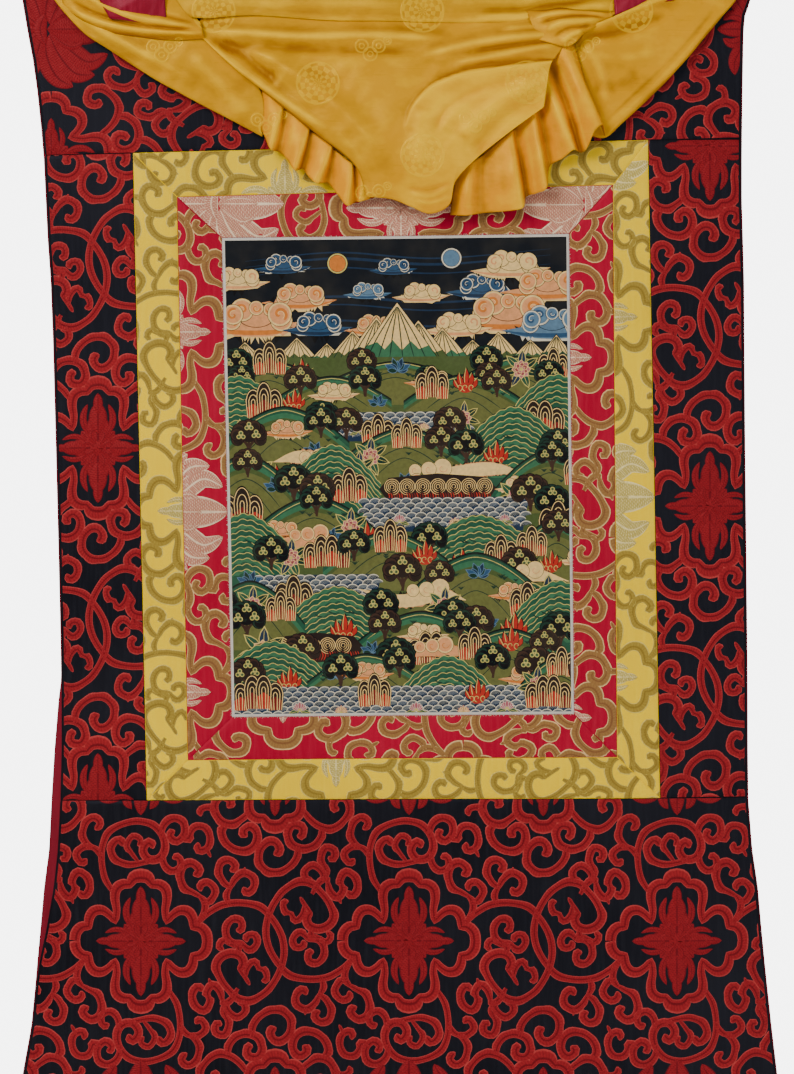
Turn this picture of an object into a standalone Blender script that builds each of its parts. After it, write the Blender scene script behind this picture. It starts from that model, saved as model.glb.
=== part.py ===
"""Hanging scroll painting in a brocade mount, as the sewn pieces its maker cuts.

Lengths are in millimetres until a point is placed; +Z is up and the front faces -Y.
A place on the cloth is given as across (from the middle, to the viewer's right) and
down (from the hanging edge).
"""
import math

import bmesh
import bpy
import numpy as np

MM = 0.001

# Cloth thicknesses and the room between pieces.
BROCADE = 1.2
CANVAS = 1.0
LINING = 1.0
SILK = 1.5
RIBBON = 1.2
SEAM_GAP = 0.3
LINING_GAP = 1.0
CELL = 36.0
LENGTH = 1240.0

# Side edges, from the hanging edge to the foot. The lining shows past the front cloth
# as a thin line, and as a wider strip low on the left.
EDGE_COLUMNS = ("down", "lining_left", "front_left", "front_right", "lining_right")
EDGES = [
    (0, -376.0, -374.5, 365.5, 367.0),
    (60, -368.0, -366.5, 359.5, 361.0),
    (75, -365.5, -364.0, 354.0, 355.5),
    (90, -363.0, -361.5, 352.5, 354.0),
    (120, -357.4, -355.9, 352.0, 353.5),
    (150, -353.2, -351.7, 351.5, 353.0),
    (190, -349.0, -347.5, 351.0, 352.5),
    (220, -346.5, -345.0, 350.8, 352.3),
    (260, -344.6, -343.1, 350.8, 352.3),
    (300, -342.7, -341.2, 352.0, 353.5),
    (340, -339.8, -338.3, 353.1, 354.6),
    (400, -337.5, -336.0, 353.5, 355.0),
    (510, -334.5, -333.0, 354.3, 355.8),
    (610, -332.0, -330.5, 355.5, 357.0),
    (700, -330.0, -328.5, 356.5, 358.0),
    (740, -329.4, -328.3, 356.8, 358.3),
    (760, -332.0, -328.4, 356.9, 358.4),
    (810, -336.0, -328.3, 357.0, 358.5),
    (860, -339.0, -329.5, 357.5, 359.0),
    (910, -341.5, -332.2, 361.5, 363.0),
    (947, -346.5, -336.3, 367.1, 368.6),
    (991, -350.5, -344.0, 371.1, 372.6),
    (1021, -353.4, -350.5, 374.0, 375.5),
    (1045, -355.4, -353.9, 376.5, 378.0),
    (1087, -359.5, -358.0, 381.0, 382.5),
    (1134, -368.0, -366.5, 386.5, 388.0),
    (1190, -377.0, -375.5, 392.5, 394.0),
    (LENGTH, -384.0, -382.5, 396.5, 398.0),
]

# The long waves of the hanging cloth: where each runs, how wide it is, and how far it
# stands back from the flat (plus) or forward (minus) at the top and at the foot.
WAVE_COLUMNS = ("across", "half_width", "top", "foot")
WAVES = [
    (-395, 125, 2.0, 10.0),
    (-215, 120, -1.0, -6.0),
    (-20, 130, 0.0, 4.5),
    (190, 125, -1.0, -5.5),
    (405, 130, 2.0, 9.0),
]
ROLL_PITCH = 310.0
ROLL_DEPTH = 1.3

# Seam lines, corner by corner: top left, top right, bottom right, bottom left.
CORNER_COLUMNS = ("across", "down")
YELLOW_OUTER = [(-257, 213), (258, 200), (270, 858), (-243, 860)]
RED_OUTER = [(-213, 257), (223, 245), (227, 817), (-202, 820)]
CANVAS_OUTER = [(-168, 298), (179, 294), (184, 774), (-158, 777)]
TOP_SEAM_ENDS = (215, 199)
FOOT_SEAM_ENDS = (861, 857)

# The gathered veil, a row for each fold line from left to right. Down to "lip" is the
# flat upper part, from there to "fold" the swag that lies in front, and from there to
# "hem" the layer behind it. The last columns are how far the swag and the back layer
# stand in front of the brocade.
VEIL_COLUMNS = ("across", "lip", "fold", "hem", "swag_out", "back_out")
VEIL = [
    (-352, 24, 31, 36, 9, 6),
    (-336, 46, 55, 61, 12, 7),
    (-322, 60, 72, 79, 15, 7),
    (-303, 71, 83, 97, 17, 8),
    (-280, 80, 93, 112, 18, 9),
    (-259, 84, 97, 126, 19, 9),
    (-237, 86, 100, 140, 20, 9),
    (-213, 85, 102, 153, 22, 9),
    (-190, 81, 99, 166, 24, 10),
    (-172, 80, 114, 176, 26, 10),
    (-151, 80, 133, 187, 27, 11),
    (-130, 80, 151, 198, 27, 12),
    (-126, 80, 154, 191, 27, 17),
    (-118, 81, 159, 211, 28, 10),
    (-108, 81, 167, 213, 28, 17),
    (-96, 82, 177, 231, 28, 10),
    (-85, 82, 186, 233, 28, 18),
    (-72, 82, 197, 245, 28, 11),
    (-60, 83, 207, 252, 29, 18),
    (-45, 83, 218, 266, 29, 11),
    (-33, 83, 230, 264, 29, 18),
    (-22, 83, 252, 262, 29, 14),
    (5, 84, 254, 263, 29, 12),
    (22, 84, 261, 270, 29, 13),
    (37, 85, 265, 276, 30, 14),
    (50, 85, 262, 273, 30, 16),
    (60, 85, 249, 277, 31, 20),
    (72, 85, 238, 276, 31, 13),
    (88, 84, 223, 274, 31, 20),
    (104, 84, 210, 272, 31, 13),
    (120, 83, 197, 271, 31, 19),
    (133, 82, 186, 270, 31, 13),
    (138, 81, 182, 256, 31, 18),
    (150, 79, 173, 251, 30, 12),
    (156, 78, 150, 249, 29, 18),
    (161, 77, 128, 230, 28, 12),
    (170, 76, 116, 226, 27, 17),
    (180, 75, 109, 221, 27, 12),
    (191, 74, 104, 219, 26, 16),
    (200, 74, 99, 195, 26, 11),
    (214, 76, 93, 198, 24, 9),
    (240, 71, 86, 178, 21, 9),
    (265, 65, 79, 154, 18, 8),
    (289, 58, 71, 130, 16, 8),
    (313, 47, 59, 100, 14, 7),
    (331, 35, 46, 79, 12, 7),
    (346, 24, 34, 59, 9, 6),
]
VEIL_TOP_OUT = 6.0
VEIL_LIP_OUT = 11.0
# How a fold line's swag swells between lip and fold, and how the folds are spaced.
SWAG_COLUMNS = ("share_down", "share_out")
SWAG = [(0.10, 0.45), (0.32, 0.72), (0.58, 0.92), (0.82, 1.0), (0.95, 0.97)]
LIP_TUCK = 3.0
FOLD_TUCK = 2.6

# Ribbon outlines, and how far each stands out at the top and at its end.
RIBBON_LEFT = [(-292, 0), (-224, 0), (-224, 60), (-222.5, 83), (-277, 77), (-290, 60)]
RIBBON_RIGHT = [(222, 0), (282, 0), (282, 55), (250, 63.5), (224, 71)]
RIBBON_OUT = (10.5, 16.0)
RIBBON_END = 84.0

# Colours as seen, linear.
COLOUR_COLUMNS = ("red", "green", "blue", "roughness")
COLOURS = {
    "brocade_black": (0.030, 0.014, 0.018, 0.55),
    "brocade_yellow": (0.55, 0.42, 0.08, 0.50),
    "brocade_red": (0.42, 0.03, 0.06, 0.50),
    "canvas": (0.16, 0.17, 0.10, 0.80),
    "veil_silk": (0.80, 0.42, 0.03, 0.45),
    "ribbon_silk": (0.33, 0.01, 0.03, 0.45),
    "lining_cloth": (0.20, 0.01, 0.03, 0.75),
}


def column(table, names, wanted):
    """One named column of a table, as an array."""
    return np.array([row[names.index(wanted)] for row in table], dtype=float)


def edge(wanted, down):
    """Where a side edge lies at a height."""
    heights = column(EDGES, EDGE_COLUMNS, "down")
    return float(np.interp(down, heights, column(EDGES, EDGE_COLUMNS, wanted)))


def hang(across, down):
    """How far the hanging cloth stands back from the flat, in millimetres."""
    share = down / LENGTH
    depth = ROLL_DEPTH * share * math.sin(math.tau * down / ROLL_PITCH)
    for centre, half_width, top, foot in WAVES:
        height = top + (foot - top) * share
        depth += height * math.exp(-((across - centre) / half_width) ** 2)
    return depth


def shrink(outline, amount):
    """The outline with every side moved inwards by the amount."""
    points = np.array(outline, dtype=float)
    before = points - np.roll(points, 1, axis=0)
    after = np.roll(points, -1, axis=0) - points
    turn = np.sum(points[:, 0] * np.roll(points[:, 1], -1)
                  - np.roll(points[:, 0], -1) * points[:, 1])
    side = math.copysign(1.0, turn)
    moved = []
    for point, run_in, run_out in zip(points, before, after):
        normal_in = side * np.array([-run_in[1], run_in[0]]) / np.linalg.norm(run_in)
        normal_out = side * np.array([-run_out[1], run_out[0]]) / np.linalg.norm(run_out)
        half = normal_in + normal_out
        half /= np.linalg.norm(half)
        moved.append(tuple(point + half * amount / np.dot(half, normal_in)))
    return moved


def side_points(wanted, start, end):
    """Points down a side edge between two heights, the ends included."""
    inner = [row[0] for row in EDGES if start + 1.0 < row[0] < end - 1.0]
    return [(edge(wanted, down), down) for down in [start, *inner, end]]


def panel_top():
    """The black cloth above the frames."""
    left = side_points("front_left", 0.0, TOP_SEAM_ENDS[0])
    right = side_points("front_right", 0.0, TOP_SEAM_ENDS[1])
    return right + YELLOW_OUTER[1::-1] + left[::-1]


def panel_foot():
    """The black cloth below the frames."""
    left = side_points("front_left", FOOT_SEAM_ENDS[0], LENGTH)
    right = side_points("front_right", FOOT_SEAM_ENDS[1], LENGTH)
    return right + left[::-1] + [YELLOW_OUTER[3], YELLOW_OUTER[2]]


def panel_left():
    """The black cloth left of the frames."""
    left = side_points("front_left", TOP_SEAM_ENDS[0], FOOT_SEAM_ENDS[0])
    return [YELLOW_OUTER[0], YELLOW_OUTER[3]] + left[::-1]


def panel_right():
    """The black cloth right of the frames."""
    right = side_points("front_right", TOP_SEAM_ENDS[1], FOOT_SEAM_ENDS[1])
    return right + [YELLOW_OUTER[2], YELLOW_OUTER[1]]


def mitred_strip(outer, inner, first):
    """One side of a frame, cut slantwise at both ends."""
    second = (first + 1) % len(outer)
    return [outer[first], outer[second], inner[second], inner[first]]


def lining_outline():
    """The lining, whole from edge to edge."""
    left = side_points("lining_left", 0.0, LENGTH)
    return side_points("lining_right", 0.0, LENGTH) + left[::-1]


def material(slot):
    """The plain material of a cloth."""
    made = bpy.data.materials.get(slot)
    if made is None:
        red, green, blue, roughness = COLOURS[slot]
        made = bpy.data.materials.new(slot)
        made.use_nodes = True
        shader = made.node_tree.nodes["Principled BSDF"]
        shader.inputs["Base Color"].default_value = (red, green, blue, 1.0)
        shader.inputs["Roughness"].default_value = roughness
        shader.inputs["Metallic"].default_value = 0.0
    return made


def add_piece(name, mesh_data, slot, thickness, offset):
    """An object in the scroll's collection, given its cloth's thickness."""
    mesh = bpy.data.meshes.new(name)
    mesh_data.to_mesh(mesh)
    mesh_data.free()
    mesh.materials.append(material(slot))
    piece = bpy.data.objects.new(name, mesh)
    bpy.data.collections[COLLECTION].objects.link(piece)
    solid = piece.modifiers.new("thickness", "SOLIDIFY")
    solid.thickness = thickness * MM
    solid.offset = offset
    solid.use_even_offset = True
    solid.use_rim = True
    return piece


def hung_sheet(name, outline, slot, thickness, behind=0.0, out=None):
    """A flat cut piece, laid on the waves of the hanging cloth.

    "behind" sets it back from the front cloth; "out" is a function of how far down a
    point is, for a piece that hangs in front.
    """
    work = bmesh.new()
    corners = [work.verts.new((x * MM, 0.0, -z * MM)) for x, z in outline]
    work.faces.new(corners)
    for axis in (0, 2):
        spots = [corner[0] if axis == 0 else -corner[1] for corner in outline]
        first = math.ceil((min(spots) + 1.0) / CELL)
        last = math.floor((max(spots) - 1.0) / CELL)
        for step in range(first, last + 1):
            place = [0.0, 0.0, 0.0]
            place[axis] = step * CELL * MM
            normal = [0.0, 0.0, 0.0]
            normal[axis] = 1.0
            everything = work.verts[:] + work.edges[:] + work.faces[:]
            bmesh.ops.bisect_plane(work, geom=everything, dist=1e-7,
                                   plane_co=place, plane_no=normal)
    bmesh.ops.triangulate(work, faces=work.faces[:])
    for vert in work.verts:
        across, down = vert.co.x / MM, -vert.co.z / MM
        forward = out(down) if out else 0.0
        vert.co.y = (hang(across, down) + behind - forward) * MM
    for face in work.faces:
        if face.normal.y > 0.0:
            face.normal_flip()
    return add_piece(name, work, slot, thickness, 0.0)


def veil_line(row):
    """One fold line of the veil: (across, down, out) from the top edge to the hem."""
    across, lip, fold, hem, swag_out, back_out = row
    line = [
        (across, 0.0, VEIL_TOP_OUT),
        (across, lip * 0.5, (VEIL_TOP_OUT + VEIL_LIP_OUT) / 2),
        (across, lip - LIP_TUCK, VEIL_LIP_OUT),
        (across, lip, VEIL_LIP_OUT - 2.0),
    ]
    start = lip + LIP_TUCK
    for share_down, share_out in SWAG:
        down = start + (fold - start) * share_down
        line.append((across, down, VEIL_LIP_OUT + (swag_out - VEIL_LIP_OUT) * share_out))
    line.append((across, fold, swag_out * 0.9))
    line.append((across, fold + FOLD_TUCK, (back_out + swag_out * 0.2)))
    line.append((across, (fold + FOLD_TUCK + hem) / 2, back_out))
    line.append((across, hem, back_out))
    return line


def veil():
    """The gathered silk, one grid of cloth moved onto its fold lines."""
    lines = [veil_line(row) for row in VEIL]
    work = bmesh.new()
    made = bmesh.ops.create_grid(work, x_segments=len(lines) - 1,
                                 y_segments=len(lines[0]) - 1, size=0.5)
    by_place = sorted(made["verts"], key=lambda vert: (round(vert.co.x, 4),
                                                       -round(vert.co.y, 4)))
    for vert, place in zip(by_place, [point for line in lines for point in line]):
        across, down, out = place
        vert.co = (across * MM, (hang(across, down) - out) * MM, -down * MM)
    work.normal_update()
    bmesh.ops.triangulate(work, faces=work.faces[:])
    work.faces.ensure_lookup_table()
    if work.faces[0].normal.y > 0.0:
        bmesh.ops.reverse_faces(work, faces=work.faces[:])
    return add_piece("veil", work, "veil_silk", SILK, -1.0)


COLLECTION = "hanging_scroll"


def clear_scene():
    """An empty scene with the one collection that the pieces go in."""
    for thing in list(bpy.data.objects):
        bpy.data.objects.remove(thing, do_unlink=True)
    group = bpy.data.collections.new(COLLECTION)
    bpy.context.scene.collection.children.link(group)


def ribbon_out(down):
    """How far a ribbon stands in front, at a height."""
    return float(np.interp(down, (0.0, RIBBON_END), RIBBON_OUT))


def build():
    """Every piece, each one solid with its own material."""
    clear_scene()
    half = SEAM_GAP / 2
    behind = BROCADE / 2 + LINING_GAP + LINING / 2
    hung_sheet("lining", lining_outline(), "lining_cloth", LINING, behind=behind)
    panels = {"top": panel_top, "foot": panel_foot, "left": panel_left, "right": panel_right}
    for place, outline in panels.items():
        hung_sheet("panel_" + place, shrink(outline(), half), "brocade_black", BROCADE)
    for number, place in enumerate(("top", "right", "foot", "left")):
        outline = mitred_strip(YELLOW_OUTER, RED_OUTER, number)
        hung_sheet("yellow_" + place, shrink(outline, half), "brocade_yellow", BROCADE)
        outline = mitred_strip(RED_OUTER, CANVAS_OUTER, number)
        hung_sheet("red_" + place, shrink(outline, half), "brocade_red", BROCADE)
    hung_sheet("painting", shrink(CANVAS_OUTER, half), "canvas", CANVAS)
    veil()
    hung_sheet("ribbon_left", RIBBON_LEFT, "ribbon_silk", RIBBON, out=ribbon_out)
    hung_sheet("ribbon_right", RIBBON_RIGHT, "ribbon_silk", RIBBON, out=ribbon_out)


build()
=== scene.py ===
# %% [markdown]
# # A hanging scroll painting in its brocade mount
#
# The real object is a painted cloth sewn into two narrow brocade frames and a wide black
# brocade mount, lined at the back, with a silk veil drawn up over the top. Everything here
# is cloth, so nearly every step is the same: cut a flat shape, lay it on the surface that
# the scroll hangs in, and give it a thread-by-thread finish.

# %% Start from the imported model
import math

import bmesh
import bpy
import numpy as np
from mathutils import Matrix, Vector
from mathutils.bvhtree import BVHTree
from mathutils.geometry import delaunay_2d_cdt


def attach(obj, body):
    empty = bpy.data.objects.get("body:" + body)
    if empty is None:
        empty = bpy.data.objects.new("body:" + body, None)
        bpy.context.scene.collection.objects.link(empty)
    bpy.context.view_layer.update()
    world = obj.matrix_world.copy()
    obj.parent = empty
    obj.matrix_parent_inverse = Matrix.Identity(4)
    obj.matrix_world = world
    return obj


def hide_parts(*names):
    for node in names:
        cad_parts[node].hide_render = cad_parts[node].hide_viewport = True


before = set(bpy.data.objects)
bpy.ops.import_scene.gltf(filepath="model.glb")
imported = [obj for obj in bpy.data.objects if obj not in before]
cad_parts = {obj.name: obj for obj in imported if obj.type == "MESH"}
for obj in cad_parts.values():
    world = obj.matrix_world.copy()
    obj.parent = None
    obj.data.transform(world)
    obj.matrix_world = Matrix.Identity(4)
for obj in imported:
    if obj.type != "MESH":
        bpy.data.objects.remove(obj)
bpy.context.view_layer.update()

MM = 0.001
print("pieces in the packed model:", len(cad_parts))

# %% [markdown]
# ## The surface that the cloth hangs in
#
# A scroll that has been rolled up never hangs quite flat. One function gives the long waves
# for a place on the cloth, across from the middle and down from the hanging edge, both in
# millimetres. Every piece reads it, so neighbours always meet. Small dents and the puckers
# along the sewn seams are a second function, because only the finished cloth needs them.

# %% Waves, dents and puckers
LENGTH = 1240.0
ROLL_PITCH, ROLL_DEPTH = 310.0, 1.3
# across, half width, depth at the top, depth at the foot
WAVES = [
    (-395, 125, 2.0, 10.0),
    (-215, 120, -1.0, -6.0),
    (-20, 130, 0.0, 4.5),
    (190, 125, -1.0, -5.5),
    (405, 130, 2.0, 9.0),
]
# down, how wide the puckered strip is, how deep the puckers are
PUCKERS = [(206, 13, 0.30), (859, 12, 0.30), (251, 9, 0.16), (818, 9, 0.16)]


def hang(across, down):
    """How far the cloth stands back from the flat, in millimetres."""
    share = down / LENGTH
    depth = ROLL_DEPTH * share * np.sin(math.tau * down / ROLL_PITCH)
    for centre, half_width, top, foot in WAVES:
        height = top + (foot - top) * share
        depth = depth + height * np.exp(-((across - centre) / half_width) ** 2)
    return depth


def dents(across, down):
    """The small unevenness of sewn cloth, in millimetres."""
    soft = np.sin(across / 31 + 1.7 * np.sin(down / 67)) * np.sin(down / 43 + across / 90)
    soft = 0.22 * soft
    soft = soft + 0.12 * np.sin(across / 17 - down / 23 + 0.8)
    for level, width, height in PUCKERS:
        near = np.exp(-((down - level) / width) ** 2)
        soft = soft + height * near * np.sin(across / 7.3 + 2.2 * np.sin(across / 37))
    return soft


# %% The side edges and the seam lines, in millimetres
# down, the lining's left edge, the front's left edge, the front's right edge
EDGES = [
    (0, -376.0, -374.5, 365.5), (60, -368.0, -366.5, 359.5), (75, -365.5, -364.0, 354.0),
    (90, -363.0, -361.5, 352.5), (120, -357.4, -355.9, 352.0), (150, -353.2, -351.7, 351.5),
    (190, -349.0, -347.5, 351.0), (220, -346.5, -345.0, 350.8), (260, -344.6, -343.1, 350.8),
    (300, -342.7, -341.2, 352.0), (340, -339.8, -338.3, 353.1), (400, -337.5, -336.0, 353.5),
    (510, -334.5, -333.0, 354.3), (610, -332.0, -330.5, 355.5), (700, -330.0, -328.5, 356.5),
    (740, -329.4, -328.3, 356.8), (760, -332.0, -328.4, 356.9), (810, -336.0, -328.3, 357.0),
    (860, -339.0, -329.5, 357.5), (910, -341.5, -332.2, 361.5), (947, -346.5, -336.3, 367.1),
    (991, -350.5, -344.0, 371.1), (1021, -353.4, -350.5, 374.0), (1045, -355.4, -353.9, 376.5),
    (1087, -359.5, -358.0, 381.0), (1134, -368.0, -366.5, 386.5), (1190, -377.0, -375.5, 392.5),
    (LENGTH, -384.0, -382.5, 396.5),
]
LINING_PAST = 1.5
EDGE_TABLE = dict(zip(("down", "lining_left", "front_left", "front_right"), np.array(EDGES).T))
EDGE_TABLE["lining_right"] = EDGE_TABLE["front_right"] + LINING_PAST
YELLOW_OUTER = [(-257, 213), (258, 200), (270, 858), (-243, 860)]
RED_OUTER = [(-213, 257), (223, 245), (227, 817), (-202, 820)]
CANVAS_OUTER = [(-168, 298), (179, 294), (184, 774), (-158, 777)]
TOP_SEAM = (215, 199)
FOOT_SEAM = (861, 857)
CLOTH = 1.0


def edge(name, down):
    """Where a side edge lies at a height."""
    return np.interp(down, EDGE_TABLE["down"], EDGE_TABLE[name])


def edge_point(name, down):
    """The place of a side edge at a height: across, down."""
    return float(edge(name, down)), down


def side_points(name, start, end):
    """Points down a side edge between two heights."""
    inner = [row[0] for row in EDGES if start + 1 < row[0] < end - 1]
    return [edge_point(name, down) for down in [start, *inner, end]]


width = edge("front_right", LENGTH) - edge("front_left", LENGTH)
print("cloth width at the foot:", round(float(width)))

# %% [markdown]
# ## One repeat of the brocade
#
# The black, the crimson and the yellow cloth carry the same woven repeat, 268 mm wide and
# 360 mm high: crossed medallions in a half drop, with linked rings and a lotus between them,
# and scrolls that run from one to the next. It could be a bump in the material, but on the
# real cloth the scrolls stand up from the ground, so here each line is a thin ridge of its
# own. A grid from `create_grid` is moved onto each drawn line. A turned copy of every scroll
# fills the other half of the repeat, as on the loom.

# %% The lines of the repeat
REPEAT = (268.0, 360.0)
# Each point of a thread stores its place across and along it, and if it fills a petal.
VALUES = ("across", "along", "fill")
# Each row: a size for the line's thickness, whether its outer side is scalloped, its points.
SCROLLS = [
    (1.00, 0, [(56, -18), (67, -28), (82, -36), (100, -38), (118, -34), (130, -23), (139, -8),
         (142.5, 7), (141, 22), (135, 37), (125, 50), (111, 58), (98, 56.5), (87, 47),
         (79.5, 36), (76.5, 25), (81, 17), (90, 13.5), (98.5, 16), (101, 23), (97, 29)]),
    (0.66, 0, [(98, 28), (104, 36), (109, 44)]),
    (0.72, 1, [(104, 37), (107, 27), (113, 21.5), (118, 27), (123, 30), (125, 37), (120.5, 40)]),
    (0.82, 1, [(98, 12), (96, 4), (88, -3), (86, -12), (91, -20.5), (99, -19.5), (99.5, -13),
         (95, -11)]),
    (0.74, 1, [(97, 6), (90, 3), (83, 0), (79.5, 5), (83, 9)]),
    (0.78, 1, [(93, 0), (101, 3), (109, 7.5), (115, 2), (113, -5), (107, -4.5), (106, 1)]),
    (0.78, 0, [(88, -37), (86.5, -46), (90, -56)]),
    (0.86, 1, [(90, -53), (83, -60), (79, -69), (81, -77.5), (88.5, -80), (93, -74.5),
         (89, -70)]),
    (0.86, 1, [(89, -53), (95, -62), (103, -67), (111, -63), (112, -55), (106.5, -50),
         (102, -54)]),
    (0.62, 0, [(103, -66), (104, -74)]),
    (0.80, 0, [(56, -18), (62, -28), (63, -38), (58, -47)]),
    (0.92, 1, [(59, -45), (52, -49), (44.5, -54), (40.5, -64), (43, -74), (51, -77), (57, -71),
         (52.5, -65.5)]),
    (0.80, 1, [(62, -38), (69, -42), (73, -50), (68, -57.5), (61, -56), (60, -50)]),
    (0.62, 0, [(66, -57), (67, -63)]),
    (0.78, 0, [(171, -47), (177, -56), (184, -61), (188, -58)]),
    (0.80, 1, [(183, -60), (180, -69), (172, -74.5), (165, -70), (166, -63), (171.5, -62)]),
    (0.84, 1, [(184, -60), (184.5, -71), (181, -82), (185, -92), (192, -90), (191.5, -83),
         (187, -84)]),
    (0.88, 1, [(186, -60), (190, -50), (196, -45), (201, -51), (200, -60), (205, -67.5),
         (212, -64), (215.5, -54.5), (211, -46.5), (206, -50)]),
    (0.60, 0, [(197, -46), (200, -37)]),
    (0.92, 0, [(-29, -50), (-36, -64), (-39, -80), (-38, -95), (-32, -108), (-20, -116),
         (-4, -119.5), (11, -116), (20.5, -106), (23, -94), (18, -84.5), (8.5, -83.5),
         (3.5, -91), (8, -98), (13, -93)]),
    (0.86, 1, [(16, -83), (2, -79), (-12, -77.5), (-24, -82), (-29, -92), (-23, -100.5),
         (-17, -95)]),
    (0.66, 1, [(-3, -80), (-9, -88), (-13, -96), (-8, -104), (-1, -101), (-3, -95)]),
    (0.84, 1, [(-38, -82), (-45, -91), (-53, -97), (-57.5, -106), (-55, -117), (-48, -122.5),
         (-42, -118), (-46, -111)]),
    (0.80, 1, [(-48, -93), (-57, -93), (-63.5, -87), (-60, -79.5), (-54, -82)]),
    (0.80, 1, [(22, -90), (24, -78), (31, -71.5), (38.5, -75), (37.5, -83), (31.5, -83)]),
    (0.86, 1, [(20, -104), (24, -116), (33, -122), (41.5, -118), (42.5, -108), (36, -101.5),
         (30, -106), (34, -111)]),
    (0.80, 1, [(42, -107), (47, -103), (50, -108), (55, -113.5), (63, -113), (68, -104.5),
         (66, -94.5), (59, -92), (57, -99)]),
    (0.60, 0, [(65, -94), (70, -84)]),
    (0.94, 1, [(109, -130), (101, -123), (92, -118.5), (83, -120), (76.5, -127), (75, -137),
         (81, -143.5), (88.5, -140), (87, -133)]),
    (0.72, 1, [(76, -128), (68, -133), (61, -131), (60, -125)]),
    (0.94, 1, [(86, -118), (82, -109), (86, -99), (94, -93), (104, -91.5), (112.5, -96.5),
         (115, -107), (109.5, -113.5), (103.5, -110), (106, -104)]),
    (0.94, 1, [(162, -131), (170, -121.5), (180, -115), (191, -113.5), (201, -119.5),
         (207.5, -130), (205, -140.5), (197, -142), (193.5, -135), (198, -131)]),
    (0.94, 1, [(181, -114), (179, -104), (172, -96), (162, -93.5), (152, -97.5), (148, -107),
         (152, -114.5), (160, -113), (160, -106.5), (156, -105)]),
    (0.94, 1, [(157, -95), (155, -84), (148, -75), (138, -70), (127, -71), (119.5, -79),
         (120, -90.5), (127, -98), (134.5, -97.5), (137, -91), (133, -86)]),
]
# A quarter of the medallion's line, in runs that meet at its points. The third figure is
# how far the line swells outwards there; it is the same width inwards all round.
MEDALLION_INSIDE = 4.3
MEDALLION = [
    [(0, -62.8, 10.8), (6, -61.8, 9.6), (11.5, -56.5, 4.6)],
    [(11.5, -56.5, 4.6), (17.5, -56, 7.0), (23.5, -51.5, 7.4), (25.5, -43, 5.8), (24.5, -31, 4.0),
     (26, -20.5, 3.6)],
    [(26, -20.5, 3.6), (32, -26.5, 4.4), (39, -30.2, 6.0), (46.5, -28.8, 7.2), (51, -22.5, 6.6),
     (52.5, -14.5, 4.6)],
    [(52.5, -14.5, 4.6), (58.8, -13.2, 7.0), (63.8, -7.5, 7.8), (65.2, 0, 7.4)],
]
# Petals: a half width, a height above the ground, and the line of the middle. First one
# arm of the crossed ornament, then half of the lotus with its middle petals after it.
ARM = [
    (13.5, 0.50, [(0, 8), (0, -8), (0, -20), (0, -37)]),
    (7.0, 0.42, [(0, 0), (8, -8), (17, -17)]),
    (7.0, 0.42, [(0, 0), (-8, -8), (-17, -17)]),
    (3.6, 0.72, [(8, -13), (13.6, -22), (14.6, -33), (10.4, -44)]),
    (3.6, 0.72, [(-8, -13), (-13.6, -22), (-14.6, -33), (-10.4, -44)]),
    (9.4, 0.92, [(0, -14), (0, -28), (0, -46)]),
    (5.0, 0.98, [(0, -34), (0, -44), (0, -55)]),
    (3.2, 0.84, [(2, -4), (7, -12), (4, -20)]),
    (3.2, 0.84, [(-2, -4), (-7, -12), (-4, -20)]),
]
LOTUS_SIDE = [
    (11.0, 0.40, [(6, 6), (28, 4), (48, -6), (58, -22)]),
    (11.0, 0.50, [(5, 2), (26, -8), (44, -24), (46, -44)]),
    (10.5, 0.60, [(4, -2), (22, -20), (33, -38), (25, -57)]),
    (9.5, 0.45, [(4, 8), (24, 14), (42, 20), (56, 16)]),
    (8.0, 0.55, [(3, 12), (16, 26), (32, 36), (46, 36)]),
    (5.5, 0.75, [(3, 22), (12, 30), (14, 40), (9, 48)]),
    (4.0, 0.90, [(2, 2), (12, -8), (18, -22), (12, -34)]),
]
LOTUS_MIDDLE = [
    (16.0, 0.85, [(0, 4), (0, -24), (0, -62)]),
    (8.0, 0.95, [(0, 14), (0, 34), (0, 54)]),
    (6.0, 1.05, [(0, 2), (0, -16), (0, -36)]),
    (7.0, 1.00, [(-16, 6), (0, 11), (16, 6)]),
]


def length_so_far(points):
    """The length of a line of points up to each of them."""
    return np.concatenate([[0], np.cumsum(np.linalg.norm(np.diff(points, axis=0), axis=1))])


def at_lengths(points, gone, wanted):
    """Places at the wanted lengths along a line of points."""
    return np.stack([np.interp(wanted, gone, column) for column in np.transpose(points)], axis=1)


def with_ends(given):
    """The points with one more at each end, as far out again as the last one."""
    return np.concatenate([[2 * given[0] - given[1]], given, [2 * given[-1] - given[-2]]])


def smooth_between(p0, p1, p2, p3, t):
    """A place between p1 and p2 on the smooth curve through four points."""
    bend = 2 * p1 + (p2 - p0) * t + (2 * p0 - 5 * p1 + 4 * p2 - p3) * t ** 2
    return 0.5 * (bend + (3 * p1 - 3 * p2 + p3 - p0) * t ** 3)


def smooth_path(points, step):
    """Even steps along a smooth curve through the points."""
    given = np.array(points, dtype=float)
    ends = with_ends(given)
    t = np.linspace(0, 1, 16, endpoint=False)[:, None]
    runs = [smooth_between(*four, t) for four in zip(ends[:-3], ends[1:-2], ends[2:-1], ends[3:])]
    fine = np.vstack(runs + [given[-1:]])
    gone = length_so_far(fine[:, :2])
    count = max(4, int(round(gone[-1] / step)) + 1)
    return at_lengths(fine, gone, np.linspace(0, gone[-1], count))


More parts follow.
